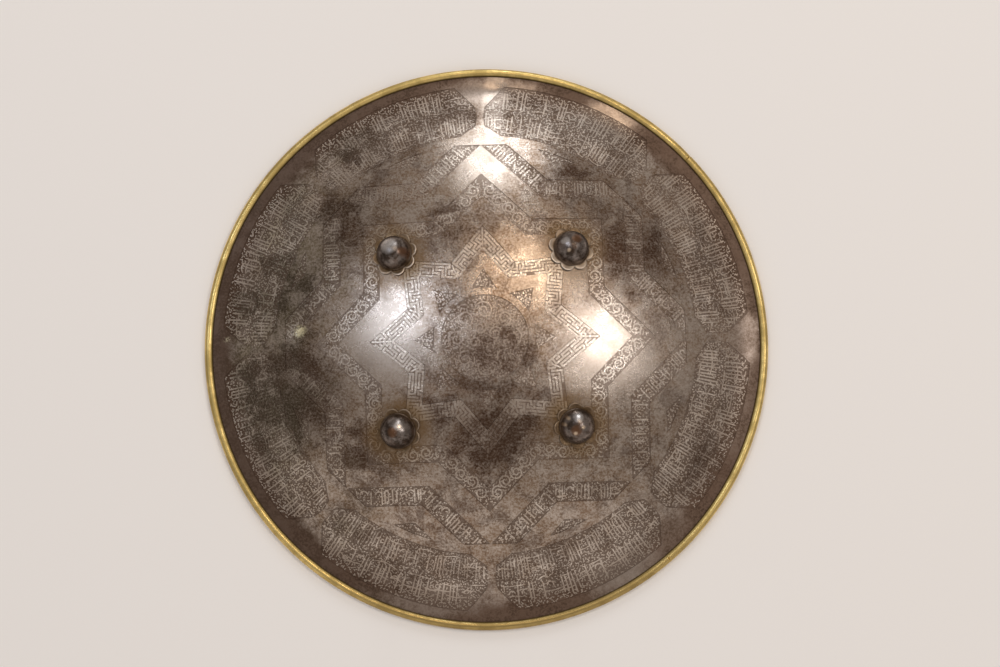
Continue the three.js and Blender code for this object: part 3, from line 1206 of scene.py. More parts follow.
@dataclass
class StrokeMaker:
    """Draws rows of strokes, key frets, scrolls and fill marks, all from one seed.

    Args:
        seed: Start of the random run.
    """

    seed: int
    strokes: list[Stroke] = field(default_factory=list)
    taken: set[tuple[int, int]] = field(default_factory=set)
    cell: float = 1.15
    fret_margin: float = 0.9
    fret_clear: float = 0.85
    straight_chance: float = 0.45
    mark_chances: tuple[float, ...] = (0.46, 0.20, 0.14, 0.08, 0.06, 0.06)
    foot_shares: Point = (0.06, 0.16)
    top_shares: Point = (0.72, 0.98)
    lean: float = 0.5
    width_shares: Point = (0.85, 1.2)
    pitch_shares: Point = (0.8, 1.2)
    sweep_levels: Point = (0.14, 0.58)
    curl_turn: float = 9.6
    curl_leaves: int = 4
    fill_jitter: float = 0.35

    def __post_init__(self) -> None:
        """Start the random run."""
        self.random = random.Random(self.seed)

    def keep(self, frame: Frame2D, places: Sequence[Point], width: float, taper: float = 1.0,
             margin: float = 1.0, straight: bool = False) -> None:
        """Add the parts of a path that lie inside a frame.

        Args:
            frame: Strip that the path lies in.
            places: Strip places along the path.
            width: Stroke width.
            taper: Share of the width left at the ends.
            margin: Distance kept from the outline.
            straight: Whether the two ends are enough to draw it.
        """
        for run in frame.clipped(places, margin):
            path = [run[0], run[-1]] if straight else run
            self.strokes.append(Stroke(path, width, taper))
            for (ax, ay), (bx, by) in zip(path, path[1:]):
                count = max(1, int(math.hypot(bx - ax, by - ay) / (self.cell * 0.7)))
                for step in range(count + 1):
                    share = step / count
                    self.taken.add((round((ax + (bx - ax) * share) / self.cell),
                                    round((ay + (by - ay) * share) / self.cell)))

    def fret(self, frame: Frame2D, pitch: float, width: float) -> None:
        """Fill a strip with a square key fret.

        Args:
            frame: Strip to fill.
            pitch: Distance between bar lines.
            width: Bar width.
        """
        rows = int((frame.width - 2.0 * self.fret_margin) / pitch) + 1
        low = (frame.width - (rows - 1) * pitch) / 2.0
        columns = range(-6, int(frame.length / pitch) + 8)
        free = {(i, j) for i in columns for j in range(rows)
                if frame.holds(i * pitch, low + j * pitch, self.fret_clear)}
        bars: dict[tuple[int, int], set[int]] = {}
        for start in sorted(free):
            if start not in free:
                continue
            free.discard(start)
            stack = [(start, (1, 0))]
            while stack:
                (i, j), heading = stack[-1]
                ways = [(di, dj) for di, dj in ((1, 0), (-1, 0), (0, 1), (0, -1)) if (i + di, j + dj) in free]
                if not ways:
                    stack.pop()
                    continue
                straight = heading in ways and self.random.random() < self.straight_chance
                way = heading if straight else self.random.choice(ways)
                following = (i + way[0], j + way[1])
                free.discard(following)
                if way[0]:
                    bars.setdefault((0, j), set()).add(min(i, following[0]))
                else:
                    bars.setdefault((1, i), set()).add(min(j, following[1]))
                stack.append((following, way))
        for (upright, line), starts in sorted(bars.items()):
            for first, last in self.runs(sorted(starts)):
                reach = width / 2.0 / pitch
                steps = 4 * (last + 1 - first)
                along = [first - reach + (last + 1 - first + 2.0 * reach) * step / steps for step in range(steps + 1)]
                places = [(line, at) if upright else (at, line) for at in along]
                self.keep(frame, [(i * pitch, low + j * pitch) for i, j in places], width, 1.0, 0.15, True)

    @staticmethod
    def runs(numbers: Sequence[int]) -> list[tuple[int, int]]:
        """Unbroken runs in a row of numbers.

        Args:
            numbers: Whole numbers in order.

        Returns:
            First and last number of each run.
        """
        found: list[tuple[int, int]] = []
        for number in numbers:
            if found and number == found[-1][1] + 1:
                found[-1] = (found[-1][0], number)
            else:
                found.append((number, number))
        return found

    def row(self, frame: Frame2D, low: float, height: float, pitch: float, width: float) -> None:
        """Draw one row of upright strokes, hooks, bowls, loops and sweeps.

        Args:
            frame: Strip that the row lies in.
            low: Place of the row's foot across the strip.
            height: Row height.
            pitch: Usual distance between strokes.
            width: Usual stroke width.
        """
        rng = self.random
        kinds = list(Mark)
        u = rng.uniform(0.0, pitch)
        while u < frame.length + 8.0:
            kind = rng.choices(kinds, self.mark_chances)[0]
            foot = low + height * rng.uniform(*self.foot_shares)
            top = low + height * rng.uniform(*self.top_shares)
            lean = rng.uniform(-self.lean, self.lean)
            broad = width * rng.uniform(*self.width_shares)
            if kind is Mark.UPRIGHT:
                self.keep(frame, straight_places((u, foot), (lean, top - foot), 5), broad, 0.8)
            elif kind is Mark.HOOK:
                bend = rng.choice((-1.0, 1.0)) * pitch * 0.55
                stem = straight_places((u, top), (lean, -(top - foot) * 0.8), 4)
                self.keep(frame, stem + [(u + bend * 0.5, foot + 0.4), (u + bend, foot + 1.2)], broad, 0.6)
            elif kind is Mark.BOWL:
                reach = pitch * rng.uniform(0.7, 1.1)
                middle = (u + reach, low + height * rng.uniform(0.3, 0.55))
                self.keep(frame, arc_places(middle, reach, math.pi * 0.95, math.pi * rng.uniform(0.9, 1.25), 9),
                          broad, 0.5)
                u += reach
            elif kind is Mark.LOOP:
                reach = pitch * rng.uniform(0.42, 0.6)
                middle = (u + reach * 0.5, low + height * rng.uniform(0.25, 0.7))
                self.keep(frame, arc_places(middle, reach, rng.uniform(0.0, 6.0), 5.4, 9), broad * 0.85, 0.8)
            elif kind is Mark.SWEEP:
                span = pitch * rng.uniform(2.6, 4.6)
                level = low + height * rng.uniform(0.35, 0.75)
                sag = height * rng.uniform(-0.12, 0.12)
                self.keep(frame, bowed_places((u, level), span, sag, 8), broad, 0.4)
                u -= pitch * 0.4
            else:
                level = low + height * rng.uniform(0.2, 0.9)
                self.keep(frame, [(u - 0.6, level - 0.5), (u + 0.6, level + 0.5)], broad * 1.2, 0.9)
            u += pitch * rng.uniform(*self.pitch_shares)

    def sweeps(self, frame: Frame2D, low: float, height: float, span: float, width: float) -> None:
        """Draw long strokes along a row, across its uprights.

        Args:
            frame: Strip that the row lies in.
            low: Place of the row's foot across the strip.
            height: Row height.
            span: Usual length of a stroke.
            width: Stroke width.
        """
        rng = self.random
        for level in self.sweep_levels:
            u = rng.uniform(0.0, span * 0.5)
            while u < frame.length:
                length = span * rng.uniform(0.55, 1.2)
                foot = low + height * (level + rng.uniform(-0.05, 0.05))
                rise = height * rng.uniform(-0.1, 0.1)
                steps = max(4, round(length / 2.4))
                self.keep(frame, bowed_places((u, foot), length, rise, steps), width, 0.55)
                u += length + span * rng.uniform(0.4, 1.0)

    def scroll(self, frame: Frame2D, middle: Point, radius: float, turn: float, hand: float, width: float) -> None:
        """Draw one curl with a leaf at its eye.

        Args:
            frame: Strip that the curl lies in.
            middle: Place of its eye.
            radius: Outer radius.
            turn: Angle where the stem comes in.
            hand: 1 for one way round, -1 for the other.
            width: Stem width.
        """
        self.keep(frame, arc_places(middle, radius, turn, hand * self.curl_turn, 26, radius * 0.24), width, 0.6, 0.7)
        for step in range(self.curl_leaves):
            angle = turn + hand * (1.2 + 1.5 * step)
            reach = radius * (1.0 - 0.12 * step)
            x, y = plan_point(reach, angle)
            leaf = (middle[0] + x, middle[1] + y)
            bend = arc_places(leaf, radius * 0.34, angle - hand * 0.4, hand * 2.2, 4, radius * 0.16)
            self.keep(frame, bend, width * 0.9, 0.35, 0.7)

    def fill(self, frame: Frame2D, spacing: float, width: float, margin: float = 0.7) -> None:
        """Fill the free ground with small curls.

        Args:
            frame: Strip to fill.
            spacing: Distance between marks.
            width: Mark width.
            margin: Distance kept from the outline.
        """
        rng = self.random
        rows = int(frame.width / spacing) + 1
        columns = int(frame.length / spacing) + 8
        for j in range(rows):
            for i in range(-4, columns):
                u = (i + 0.5 * (j % 2)) * spacing + rng.uniform(-self.fill_jitter, self.fill_jitter) * spacing
                v = (j + 0.5) * spacing + rng.uniform(-self.fill_jitter, self.fill_jitter) * spacing
                if not frame.holds(u, v, margin):
                    continue
                x, y = frame.at(u, v)
                if (round(x / self.cell), round(y / self.cell)) in self.taken:
                    continue
                places = arc_places((u, v), spacing * rng.uniform(0.36, 0.6), rng.uniform(0.0, 6.28),
                                    rng.choice((-1.0, 1.0)) * rng.uniform(1.7, 3.6), 4, spacing * 0.3)
                self.keep(frame, places, width * rng.uniform(0.85, 1.15), 0.6, margin * 0.6)


class StrokeTree:
    """Geometry node tree that lays flat-topped bars on the dome along plan lines."""

    depth_share: float = 1.5
    ray_height: float = 0.2
    lifts: Point = (0.02, 0.1)
    end_rounding: float = 1.8

    def __init__(self) -> None:
        """Build the tree."""
        self.tree = bpy.data.node_groups.new("Raised strokes", "GeometryNodeTree")
        for label, side, kind in (("Lines", "INPUT", "Geometry"), ("Dome", "INPUT", "Object"),
                                  ("Finish", "INPUT", "Material"), ("Strokes", "OUTPUT", "Geometry")):
            self.tree.interface.new_socket(label, in_out=side, socket_type=f"NodeSocket{kind}")
        nodes = Nodes(self.tree)
        given = nodes.add("NodeGroupInput").outputs
        curves = nodes.first("GeometryNodeMeshToCurve", {"Mesh": given["Lines"]})
        dome = nodes.add("GeometryNodeObjectInfo", {"Object": given["Dome"]}).outputs["Geometry"]
        place = nodes.add("ShaderNodeSeparateXYZ", {0: nodes.first("GeometryNodeInputPosition")}).outputs
        above = nodes.first("ShaderNodeCombineXYZ", {0: place[0], 1: place[1], 2: self.ray_height})
        ray = nodes.add("GeometryNodeRaycast", {"Target Geometry": dome, "Source Position": above,
                                                "Ray Direction": (0.0, 0.0, -1.0), "Ray Length": 1.0}).outputs
        lift, half = (nodes.first("GeometryNodeInputNamedAttribute", {"Name": label}, data_type="FLOAT")
                      for label in ("lift", "half_width"))
        level = nodes.add("ShaderNodeSeparateXYZ", {0: ray["Hit Position"]}).outputs["Z"]
        laid = nodes.first("ShaderNodeCombineXYZ", {0: place[0], 1: place[1], 2: nodes.plus(level, lift)})
        moved = nodes.first("GeometryNodeSetPosition", {"Geometry": curves, "Position": laid})
        aside = nodes.vector("CROSS_PRODUCT", nodes.first("GeometryNodeInputTangent"), ray["Hit Normal"])
        upright = nodes.first("GeometryNodeSetCurveNormal", {"Curve": moved, "Normal": aside}, mode="FREE")
        section = nodes.first("GeometryNodeCurvePrimitiveQuadrilateral", {"Width": 2.0, "Height": self.depth_share})
        down = (0.0, -0.5 * self.depth_share, 0.0)
        lowered = nodes.first("GeometryNodeTransform", {"Geometry": section, "Translation": down})
        bars = nodes.first("GeometryNodeCurveToMesh", {"Curve": upright, "Profile Curve": lowered, "Scale": half,
                                                       "Fill Caps": True})
        flat = nodes.first("GeometryNodeSetShadeSmooth", {"Geometry": bars, "Shade Smooth": False})
        real = nodes.first("GeometryNodeRealizeInstances", {"Geometry": flat})
        dressed = nodes.first("GeometryNodeSetMaterial", {"Geometry": real, "Material": given["Finish"]})
        nodes.add("NodeGroupOutput", {"Strokes": dressed})

    def lay(self, name: str, strokes: Iterable[Stroke], dome: Piece, finish: Finish,
            seed: int) -> Piece:
        """Lay strokes on the dome as one plain mesh.

        Args:
            name: Piece name.
            strokes: Marks in plan.
            dome: Even dome that their tops follow.
            finish: Finish of the marks.
            seed: Start of the random run for heights and tones.

        Returns:
            Finished piece.
        """
        rng = random.Random(seed)
        verts: list[tuple[float, float, float]] = []
        edges: list[tuple[int, int]] = []
        numbers: dict[str, list[float]] = {"half_width": [], "lift": [], "tone": []}
        for stroke in strokes:
            lift = -rng.uniform(*self.lifts) * MM
            tone = rng.random()
            last = len(stroke.path) - 1
            for index, (x, y) in enumerate(stroke.path):
                inward = math.sin(math.pi * index / last)
                share = stroke.taper + (1.0 - stroke.taper) * min(1.0, inward * self.end_rounding)
                if index:
                    edges.append((len(verts) - 1, len(verts)))
                verts.append((x * MM, y * MM, 0.0))
                numbers["half_width"].append(stroke.width * 0.5 * share * MM)
                numbers["lift"].append(lift)
                numbers["tone"].append(tone)
        lines = make_object(f"{name}_lines", verts, edges, [])
        store_numbers(lines, numbers)
        modifier = lines.modifiers.new("strokes", "NODES")
        modifier.node_group = self.tree
        inputs = {item.name: item.identifier for item in self.tree.interface.items_tree if item.in_out == "INPUT"}
        modifier[inputs["Dome"]] = dome
        modifier[inputs["Finish"]] = finish.material
        shaped = lines.evaluated_get(bpy.context.evaluated_depsgraph_get())
        mesh = bpy.data.meshes.new_from_object(shaped)
        mesh.name = name
        piece = bpy.data.objects.new(name, mesh)
        bpy.context.collection.objects.link(piece)
        bpy.data.objects.remove(lines)
        return piece


# Sub-assemblies


@dataclass
class ShieldBowl:
    """Domed plate with the sunk pattern, its ornament and its plain back."""

    form: DomeForm = field(default_factory=DomeForm)
    pattern: StarPattern = field(default_factory=StarPattern)
    ray_step: float = math.radians(0.95)
    wall_run: float = 0.22
    plain_step: float = 3.6
    bore_radius: float = 3.3
    bore_depth: float = 20.0
    floor_rows: int = 9
    edge_rows: int = 7
    back_flare: tuple[float, int] = (196.0, 12)
    back_dome: tuple[float, int] = (190.0, 40)
    helper_radius: float = 220.0
    helper_grid: tuple[int, int] = (300, 111)
    sharp_degrees: float = 40.0
    triangle_reach: float = 12.0
    spandrel_reach: float = 18.0
    curl_rings: Point = (0.64, 0.26)
    fret_bars: Point = (2.55, 1.75)
    scroll_fill: Point = (2.0, 0.75)
    arm_edge: float = 0.8
    arm_row: Point = (2.9, 1.2)
    arm_fill: Point = (2.1, 0.75)
    border_row: Point = (2.8, 1.15)
    border_sweep: Point = (17.0, 1.0)
    border_fill: Point = (1.95, 0.78)
    border_rows: tuple[Point, ...] = ((1.2, 21.0), (22.8, 21.6))

    def wedge_rays(self) -> list[float]:
        """Angles of the rays in a wedge, with one on every corner of the outlines.

        Returns:
            Angles without the wedge's far side.
        """
        corners = self.pattern.corner_angles()
        rays = []
        for low, high in zip(corners, corners[1:]):
            count = max(1, math.ceil((high - low) / self.ray_step))
            rays += [low + (high - low) * step / count for step in range(count)]
        return rays

    def front_section(self, angle: float) -> list[Point]:
        """Section of the front along one ray.

        Args:
            angle: Angle from the nearest tip line.

        Returns:
            Radius and share of the sink depth, from the axis to the edge.
        """
        pattern = self.pattern
        floor = pattern.medallion - self.wall_run
        section = [(floor * step / self.floor_rows, 1.0) for step in range(self.floor_rows + 1)]
        section.append((pattern.medallion, 0.0))
        before = tip_before = hollow_before = pattern.medallion
        for band in pattern.bands():
            inner, outer = band.inner(angle), band.outer(angle)
            widest = max(band.inner(0.0) - tip_before, band.inner(WEDGE) - hollow_before)
            count = max(1, round(widest / self.plain_step))
            section += [(before + (inner - before) * step / count, 0.0) for step in range(1, count)]
            run = min(self.wall_run, (outer - inner) / 2.0)
            sink = 1.0 if outer - inner > 1e-6 else 0.0
            section.append((inner, 0.0))
            low, high = inner + run, outer - run
            section += [(low + (high - low) * step / band.steps, sink) for step in range(band.steps + 1)]
            section.append((outer, 0.0))
            before, tip_before, hollow_before = outer, band.outer(0.0), band.outer(WEDGE)
        plain = self.form.edge_radius - before
        section += [(before + plain * step / self.edge_rows, 0.0) for step in range(1, self.edge_rows + 1)]
        return section

    def build_plate(self, finish: Finish) -> Piece:
        """Plate mesh with the sunk pattern on its front.

        Args:
            finish: Finish of the plate.

        Returns:
            Finished piece.
        """
        rays = self.wedge_rays()
        sections, headings = [], []
        for wedge in range(WEDGES):
            mirrored = wedge % 2 == 1
            for angle in ([WEDGE] + rays[:0:-1] if mirrored else rays):
                sections.append(self.front_section(angle))
                headings.append(wedge * WEDGE + (WEDGE - angle if mirrored else angle))
        front = np.array(sections)
        radii, sinks = front[:, :, 0], front[:, :, 1]
        turns = np.array(headings)[:, None]
        xs, ys = radii * np.cos(turns), radii * np.sin(turns)
        uneven = self.form.unevenness(xs, ys)
        top = np.stack([xs, ys, self.form.front(radii)[0] - sinks * self.pattern.sink + uneven], axis=2)
        back_radii = np.concatenate([np.linspace(self.form.edge_radius, *self.back_flare),
                                     np.linspace(self.back_dome[0], 0.0, self.back_dome[1])])
        heights, slopes = self.form.front(back_radii)
        inward = back_radii - self.form.thickness * np.sin(slopes)
        bx, by = inward[None, :] * np.cos(turns), inward[None, :] * np.sin(turns)
        lower = heights - self.form.thickness * np.cos(slopes)
        under = np.stack([bx, by, lower[None, :] + self.form.unevenness(bx, by)], axis=2)
        verts = np.concatenate([top, under], axis=1)
        piece = make_object("shield_plate", (verts.reshape(-1, 3) * MM).tolist(), [],
                            ring_faces(len(headings), verts.shape[1], False))
        store_numbers(piece, {
            "sunk": np.concatenate([sinks, np.zeros(bx.shape)], axis=1).ravel(),
            "outside": np.concatenate([np.ones(sinks.shape), np.zeros(bx.shape)], axis=1).ravel(),
        })
        clean_mesh(piece, self.sharp_degrees)
        self.bore(piece)
        piece.data.materials.append(finish.material)
        return piece

    def bore(self, piece: Piece) -> None:
        """Cut the four rivet holes.

        Args:
            piece: Plate to cut.
        """
        bm = bmesh.new()
        for number in range(4):
            seat = self.form.seat(BOSS_CIRCLE, (number + 0.5) * math.pi / 2.0)
            bmesh.ops.create_cone(bm, cap_ends=True, segments=24, radius1=self.bore_radius * MM,
                                  radius2=self.bore_radius * MM, depth=self.bore_depth * MM, matrix=seat)
        cutter = make_object("rivet_cutter", [], [], [])
        bm.to_mesh(cutter.data)
        bm.free()
        cut = piece.modifiers.new("holes", "BOOLEAN")
        cut.operation = "DIFFERENCE"
        cut.solver = "EXACT"
        cut.object = cutter
        shaped = piece.evaluated_get(bpy.context.evaluated_depsgraph_get())
        whole, bored = piece.data, bpy.data.meshes.new_from_object(shaped)
        piece.modifiers.clear()
        piece.data = bored
        bored.name = piece.name
        bpy.data.meshes.remove(whole)
        bpy.data.objects.remove(cutter)

    def even_dome(self) -> Piece:
        """Helper dome without the sunk pattern, which the strokes are laid on.

        Returns:
            Dome to take away again.
        """
        rings, points = self.helper_grid
        radii = np.linspace(0.0, self.helper_radius, points)
        turns = np.linspace(0.0, 2.0 * math.pi, rings, endpoint=False)[:, None]
        xs, ys = radii[None, :] * np.cos(turns), radii[None, :] * np.sin(turns)
        zs = self.form.front(radii)[0][None, :] + self.form.unevenness(xs, ys)
        verts = np.stack([xs, ys, zs], axis=2).reshape(-1, 3) * MM
        return make_object("even_dome", verts.tolist(), [], ring_faces(rings, points, False))

    def triangle_field(self, number: int) -> RoundField:
        """Field of one small triangle beside the medallion.

        Args:
            number: Number of the triangle.

        Returns:
            Field to fill.
        """
        size, side = self.pattern, self.pattern.triangle_side()
        turn = number * 2.0 * WEDGE

        def inside(x: float, y: float, margin: float) -> bool:
            """Whether a plan point lies in the triangle."""
            angle, radius = abs(wrapped(math.atan2(y, x) - turn)), math.hypot(x, y)
            return angle < size.triangle_corner and size.triangle_base + margin <= radius <= side(angle) - margin * 1.5

        middle = (size.triangle_base + size.triangle_point) / 2.0
        return RoundField(self.triangle_reach, plan_point(middle, turn), inside)

    def spandrel_field(self, number: int) -> RoundField:
        """Field of one small spandrel inside the border.

        Args:
            number: Number of the spandrel.

        Returns:
            Field to fill.
        """
        size, side = self.pattern, self.pattern.spandrel_side()
        turn = (number * 2.0 + 1.0) * WEDGE

        def inside(x: float, y: float, margin: float) -> bool:
            """Whether a plan point lies in the spandrel."""
            angle, radius = WEDGE - abs(wrapped(math.atan2(y, x) - turn)), math.hypot(x, y)
            return angle > size.spandrel_corner and side(angle) + margin <= radius <= size.spandrel_base - margin

        middle = (size.spandrel_base + size.spandrel_point) / 2.0
        return RoundField(self.spandrel_reach, plan_point(middle, turn), inside)

    def medallion_strokes(self) -> list[Stroke]:
        """Ring of curls, middle curls and fill of the medallion.

        Returns:
            Strokes in plan.
        """
        maker = StrokeMaker(301)
        size = self.pattern.medallion
        disc = RoundField(size, (0.0, 0.0), lambda x, y, margin: math.hypot(x, y) <= size - margin)
        for number in range(8):
            angle = number * 2.0 * WEDGE
            middle = [size + part for part in plan_point(self.curl_rings[0] * size, angle)]
            maker.scroll(disc, middle, 7.6, angle + math.pi / 2.0, 1.0 if number % 2 else -1.0, 1.25)
        for number in range(4):
            angle = (number * 4.0 + 1.0) * WEDGE
            middle = [size + part for part in plan_point(self.curl_rings[1] * size, angle)]
            maker.scroll(disc, middle, 5.6, angle, -1.0 if number % 2 else 1.0, 1.15)
        maker.fill(disc, *self.scroll_fill)
        return maker.strokes

    def star_strokes(self) -> dict[str, list[Stroke]]:
        """Strokes of the inner fret star, the scroll star and the outer arms.

        Returns:
            Piece name to strokes.
        """
        fret, scrolls, arms = StrokeMaker(401), StrokeMaker(402), StrokeMaker(403)
        for wedge in range(WEDGES):
            strip = StarStrip(self.pattern.inner_tips, self.pattern.inner_ratio, False, wedge)
            fret.fret(strip, *self.fret_bars)
            share = self.pattern.inner_ratio if wedge % 2 else 1.0
            low, high = (share * tip for tip in self.pattern.inner_tips)
            reaches = np.linspace(low + 1.0, high - 1.8, 8)
            fret.strokes.append(Stroke([plan_point(reach, wedge * WEDGE) for reach in reaches], 1.3))
            band = StarStrip(self.pattern.middle_tips, self.pattern.ratio, False, wedge)
            for number in range(6):
                middle = (2.0 + number * 10.6, band.width * (0.5 + 0.06 * (-1) ** number))
                scrolls.scroll(band, middle, band.width * 0.4, number * 2.1, 1.0 if number % 2 else -1.0, 1.15)
            scrolls.fill(band, *self.scroll_fill)
            arm = StarStrip(self.pattern.outer_tips, self.pattern.ratio, True, wedge)
            arms.row(arm, self.arm_edge, arm.width - 2.0 * self.arm_edge, *self.arm_row)
            arms.fill(arm, *self.arm_fill)
        return {"fret_star": fret.strokes, "scroll_star": scrolls.strokes, "star_arms": arms.strokes}

    def border_strokes(self, number: int) -> list[Stroke]:
        """Two tall rows of strokes, crossed by long sweeps, and their fill in one border panel.

        Args:
            number: Number of the panel.

        Returns:
            Strokes in plan.
        """
        maker = StrokeMaker(500 + number)
        panel = PanelArc(self.pattern, number)
        for low, height in self.border_rows:
            maker.row(panel, low, height, *self.border_row)
            maker.sweeps(panel, low, height, *self.border_sweep)
        maker.fill(panel, *self.border_fill)
        return maker.strokes

    def small_strokes(self) -> list[Stroke]:
        """Fill of the small triangles and spandrels.

        Returns:
            Strokes in plan.
        """
        maker = StrokeMaker(601)
        for number in range(8):
            maker.fill(self.triangle_field(number), 1.7, 0.9, 0.5)
            maker.fill(self.spandrel_field(number), 1.8, 0.9, 0.5)
        return maker.strokes

    def build(self, plate: Finish, relief: Finish) -> None:
        """Build the plate and all its ornament.

        Args:
            plate: Finish of the plate.
            relief: Finish of the raised ornament.
        """
        join_body(self.build_plate(plate), Slot.STEEL, "shield_bowl")
        dome = self.even_dome()
        tree = StrokeTree()
        fields = {"medallion_scrolls": self.medallion_strokes(), **self.star_strokes(),
                  "small_fill": self.small_strokes()}
        for quarter in range(4):
            fields[f"border_strokes_{quarter + 1}"] = [stroke for number in (2 * quarter, 2 * quarter + 1)
                                                       for stroke in self.border_strokes(number)]
        for seed, (name, strokes) in enumerate(fields.items()):
            join_body(tree.lay(name, strokes, dome, relief, 700 + seed), Slot.STEEL)
        bpy.data.objects.remove(dome)


@dataclass
class BrassEdging:
    """Brass strip folded over the plate's edge, with its butt joint and pin hole. Millimetres."""

    form: DomeForm = field(default_factory=DomeForm)
    outer_radius: float = 229.85
    inner_radius: float = 223.0
    height: float = 6.4
    seat: Point = (225.2, 228.0)
    lip: float = 0.9
    gap: float = 0.3
    slot_end_gap: float = 0.8
    joint_angle: float = math.radians(41.3)
    pin_angle: float = math.radians(-51.1)
    pin_radius: float = 0.8
    pin_depth: float = 1.3
    bead_start: float = -42.0
    bead_sweep: float = 172.0
    bead_steps: int = 22
    even_steps: int = 400
    sharp_degrees: float = 50.0
    wobble_seed: int = 23
    wobble_counts: tuple[int, ...] = (7, 13, 22, 41, 67)
    wobble_share: float = 0.012
    joint_share: float = 0.16
    joint_width: float = math.radians(0.09)
    pinch_share: float = 0.07
    pinch_width: float = math.radians(1.6)

    def section(self) -> list[Point]:
        """Closed section of the bead with its slot for the plate.

        Returns:
            Radius and height of its points.
        """
        edge = self.form.edge_radius
        heights, _ = self.form.front(np.array([self.inner_radius, edge]))
        over_inner, over_edge = (float(height) + self.gap for height in heights)
        low = self.form.edge_height - self.form.thickness * math.cos(self.form.border_slope) - self.gap
        middle, half = (self.inner_radius + self.outer_radius) / 2.0, (self.outer_radius - self.inner_radius) / 2.0
        points = [(self.inner_radius, low - self.lip), (self.inner_radius + 0.7, low - self.lip - 0.45),
                  (self.seat[0], 0.0), (self.seat[1], 0.0)]
        for step in range(self.bead_steps + 1):
            angle = math.radians(self.bead_start + self.bead_sweep * step / self.bead_steps)
            points.append((middle + half * math.cos(angle), self.height / 2.0 * (1.0 + math.sin(angle))))
        points += [(self.inner_radius + 0.25, over_inner + 0.55), (self.inner_radius, over_inner + 0.3),
                   (self.inner_radius, over_inner), (edge + self.slot_end_gap, over_edge),
                   (edge + self.slot_end_gap, low), (self.inner_radius, low)]
        return points

    def headings(self) -> list[float]:
        """Angles of the sections, close together at the joint and the pin hole.

        Returns:
            Angles in order.
        """
        even = [2.0 * math.pi * step / self.even_steps for step in range(self.even_steps)]
        joint = [self.joint_angle + math.radians(0.03 * step) for step in range(-24, 25)]
        pin = [self.pin_angle % (2.0 * math.pi) + math.radians(0.06 * step) for step in range(-8, 9)]
        return sorted(set(even + joint + pin))

    def build(self, finish: Finish) -> None:
        """Build the edging.

        Args:
            finish: Finish of the brass.
        """
        section = np.array(self.section())
        turns = np.array(self.headings())
        rng = np.random.default_rng(self.wobble_seed)
        waves = [np.sin(turns * count + rng.uniform(0.0, 6.28)) for count in self.wobble_counts]
        wobble = sum(waves) / len(waves)
        middle = np.array([(self.inner_radius + self.outer_radius) / 2.0, self.height / 2.0])
        upper = (section[:, 1] > self.height * 0.15) & (section[:, 0] > self.inner_radius + 0.4)
        upper &= ~((section[:, 1] < self.height * 0.72) & (section[:, 0] < self.outer_radius - 3.0))
        away = wrapped(turns - self.joint_angle)
        groove = np.exp(-(away / self.joint_width) ** 2)
        pinch = np.where(away > 0.0, np.exp(-(away / self.pinch_width) ** 2), 0.0)
        shrink = self.wobble_share * (1.0 - wobble) + self.joint_share * groove + self.pinch_share * pinch
        verts = []
        for index, turn in enumerate(turns):
            for (radius, height), moves in zip(section, upper):
                if moves:
                    radius += (middle[0] - radius) * shrink[index]
                    height += (middle[1] - height) * shrink[index]
                    across = radius * math.sin(turn - self.pin_angle)
                    near = math.hypot(across, radius - middle[0] - 0.4) / self.pin_radius
                    if height > middle[1] and math.cos(turn - self.pin_angle) > 0.0:
                        height -= self.pin_depth * math.exp(-near**4)
                verts.append((radius * math.cos(turn) * MM, radius * math.sin(turn) * MM, height * MM))
        piece = make_object("brass_edging", verts, [], ring_faces(len(turns), len(section), True))
        clean_mesh(piece, self.sharp_degrees)
        piece.data.materials.append(finish.material)
        join_body(piece, Slot.BRASS, "brass_rim")


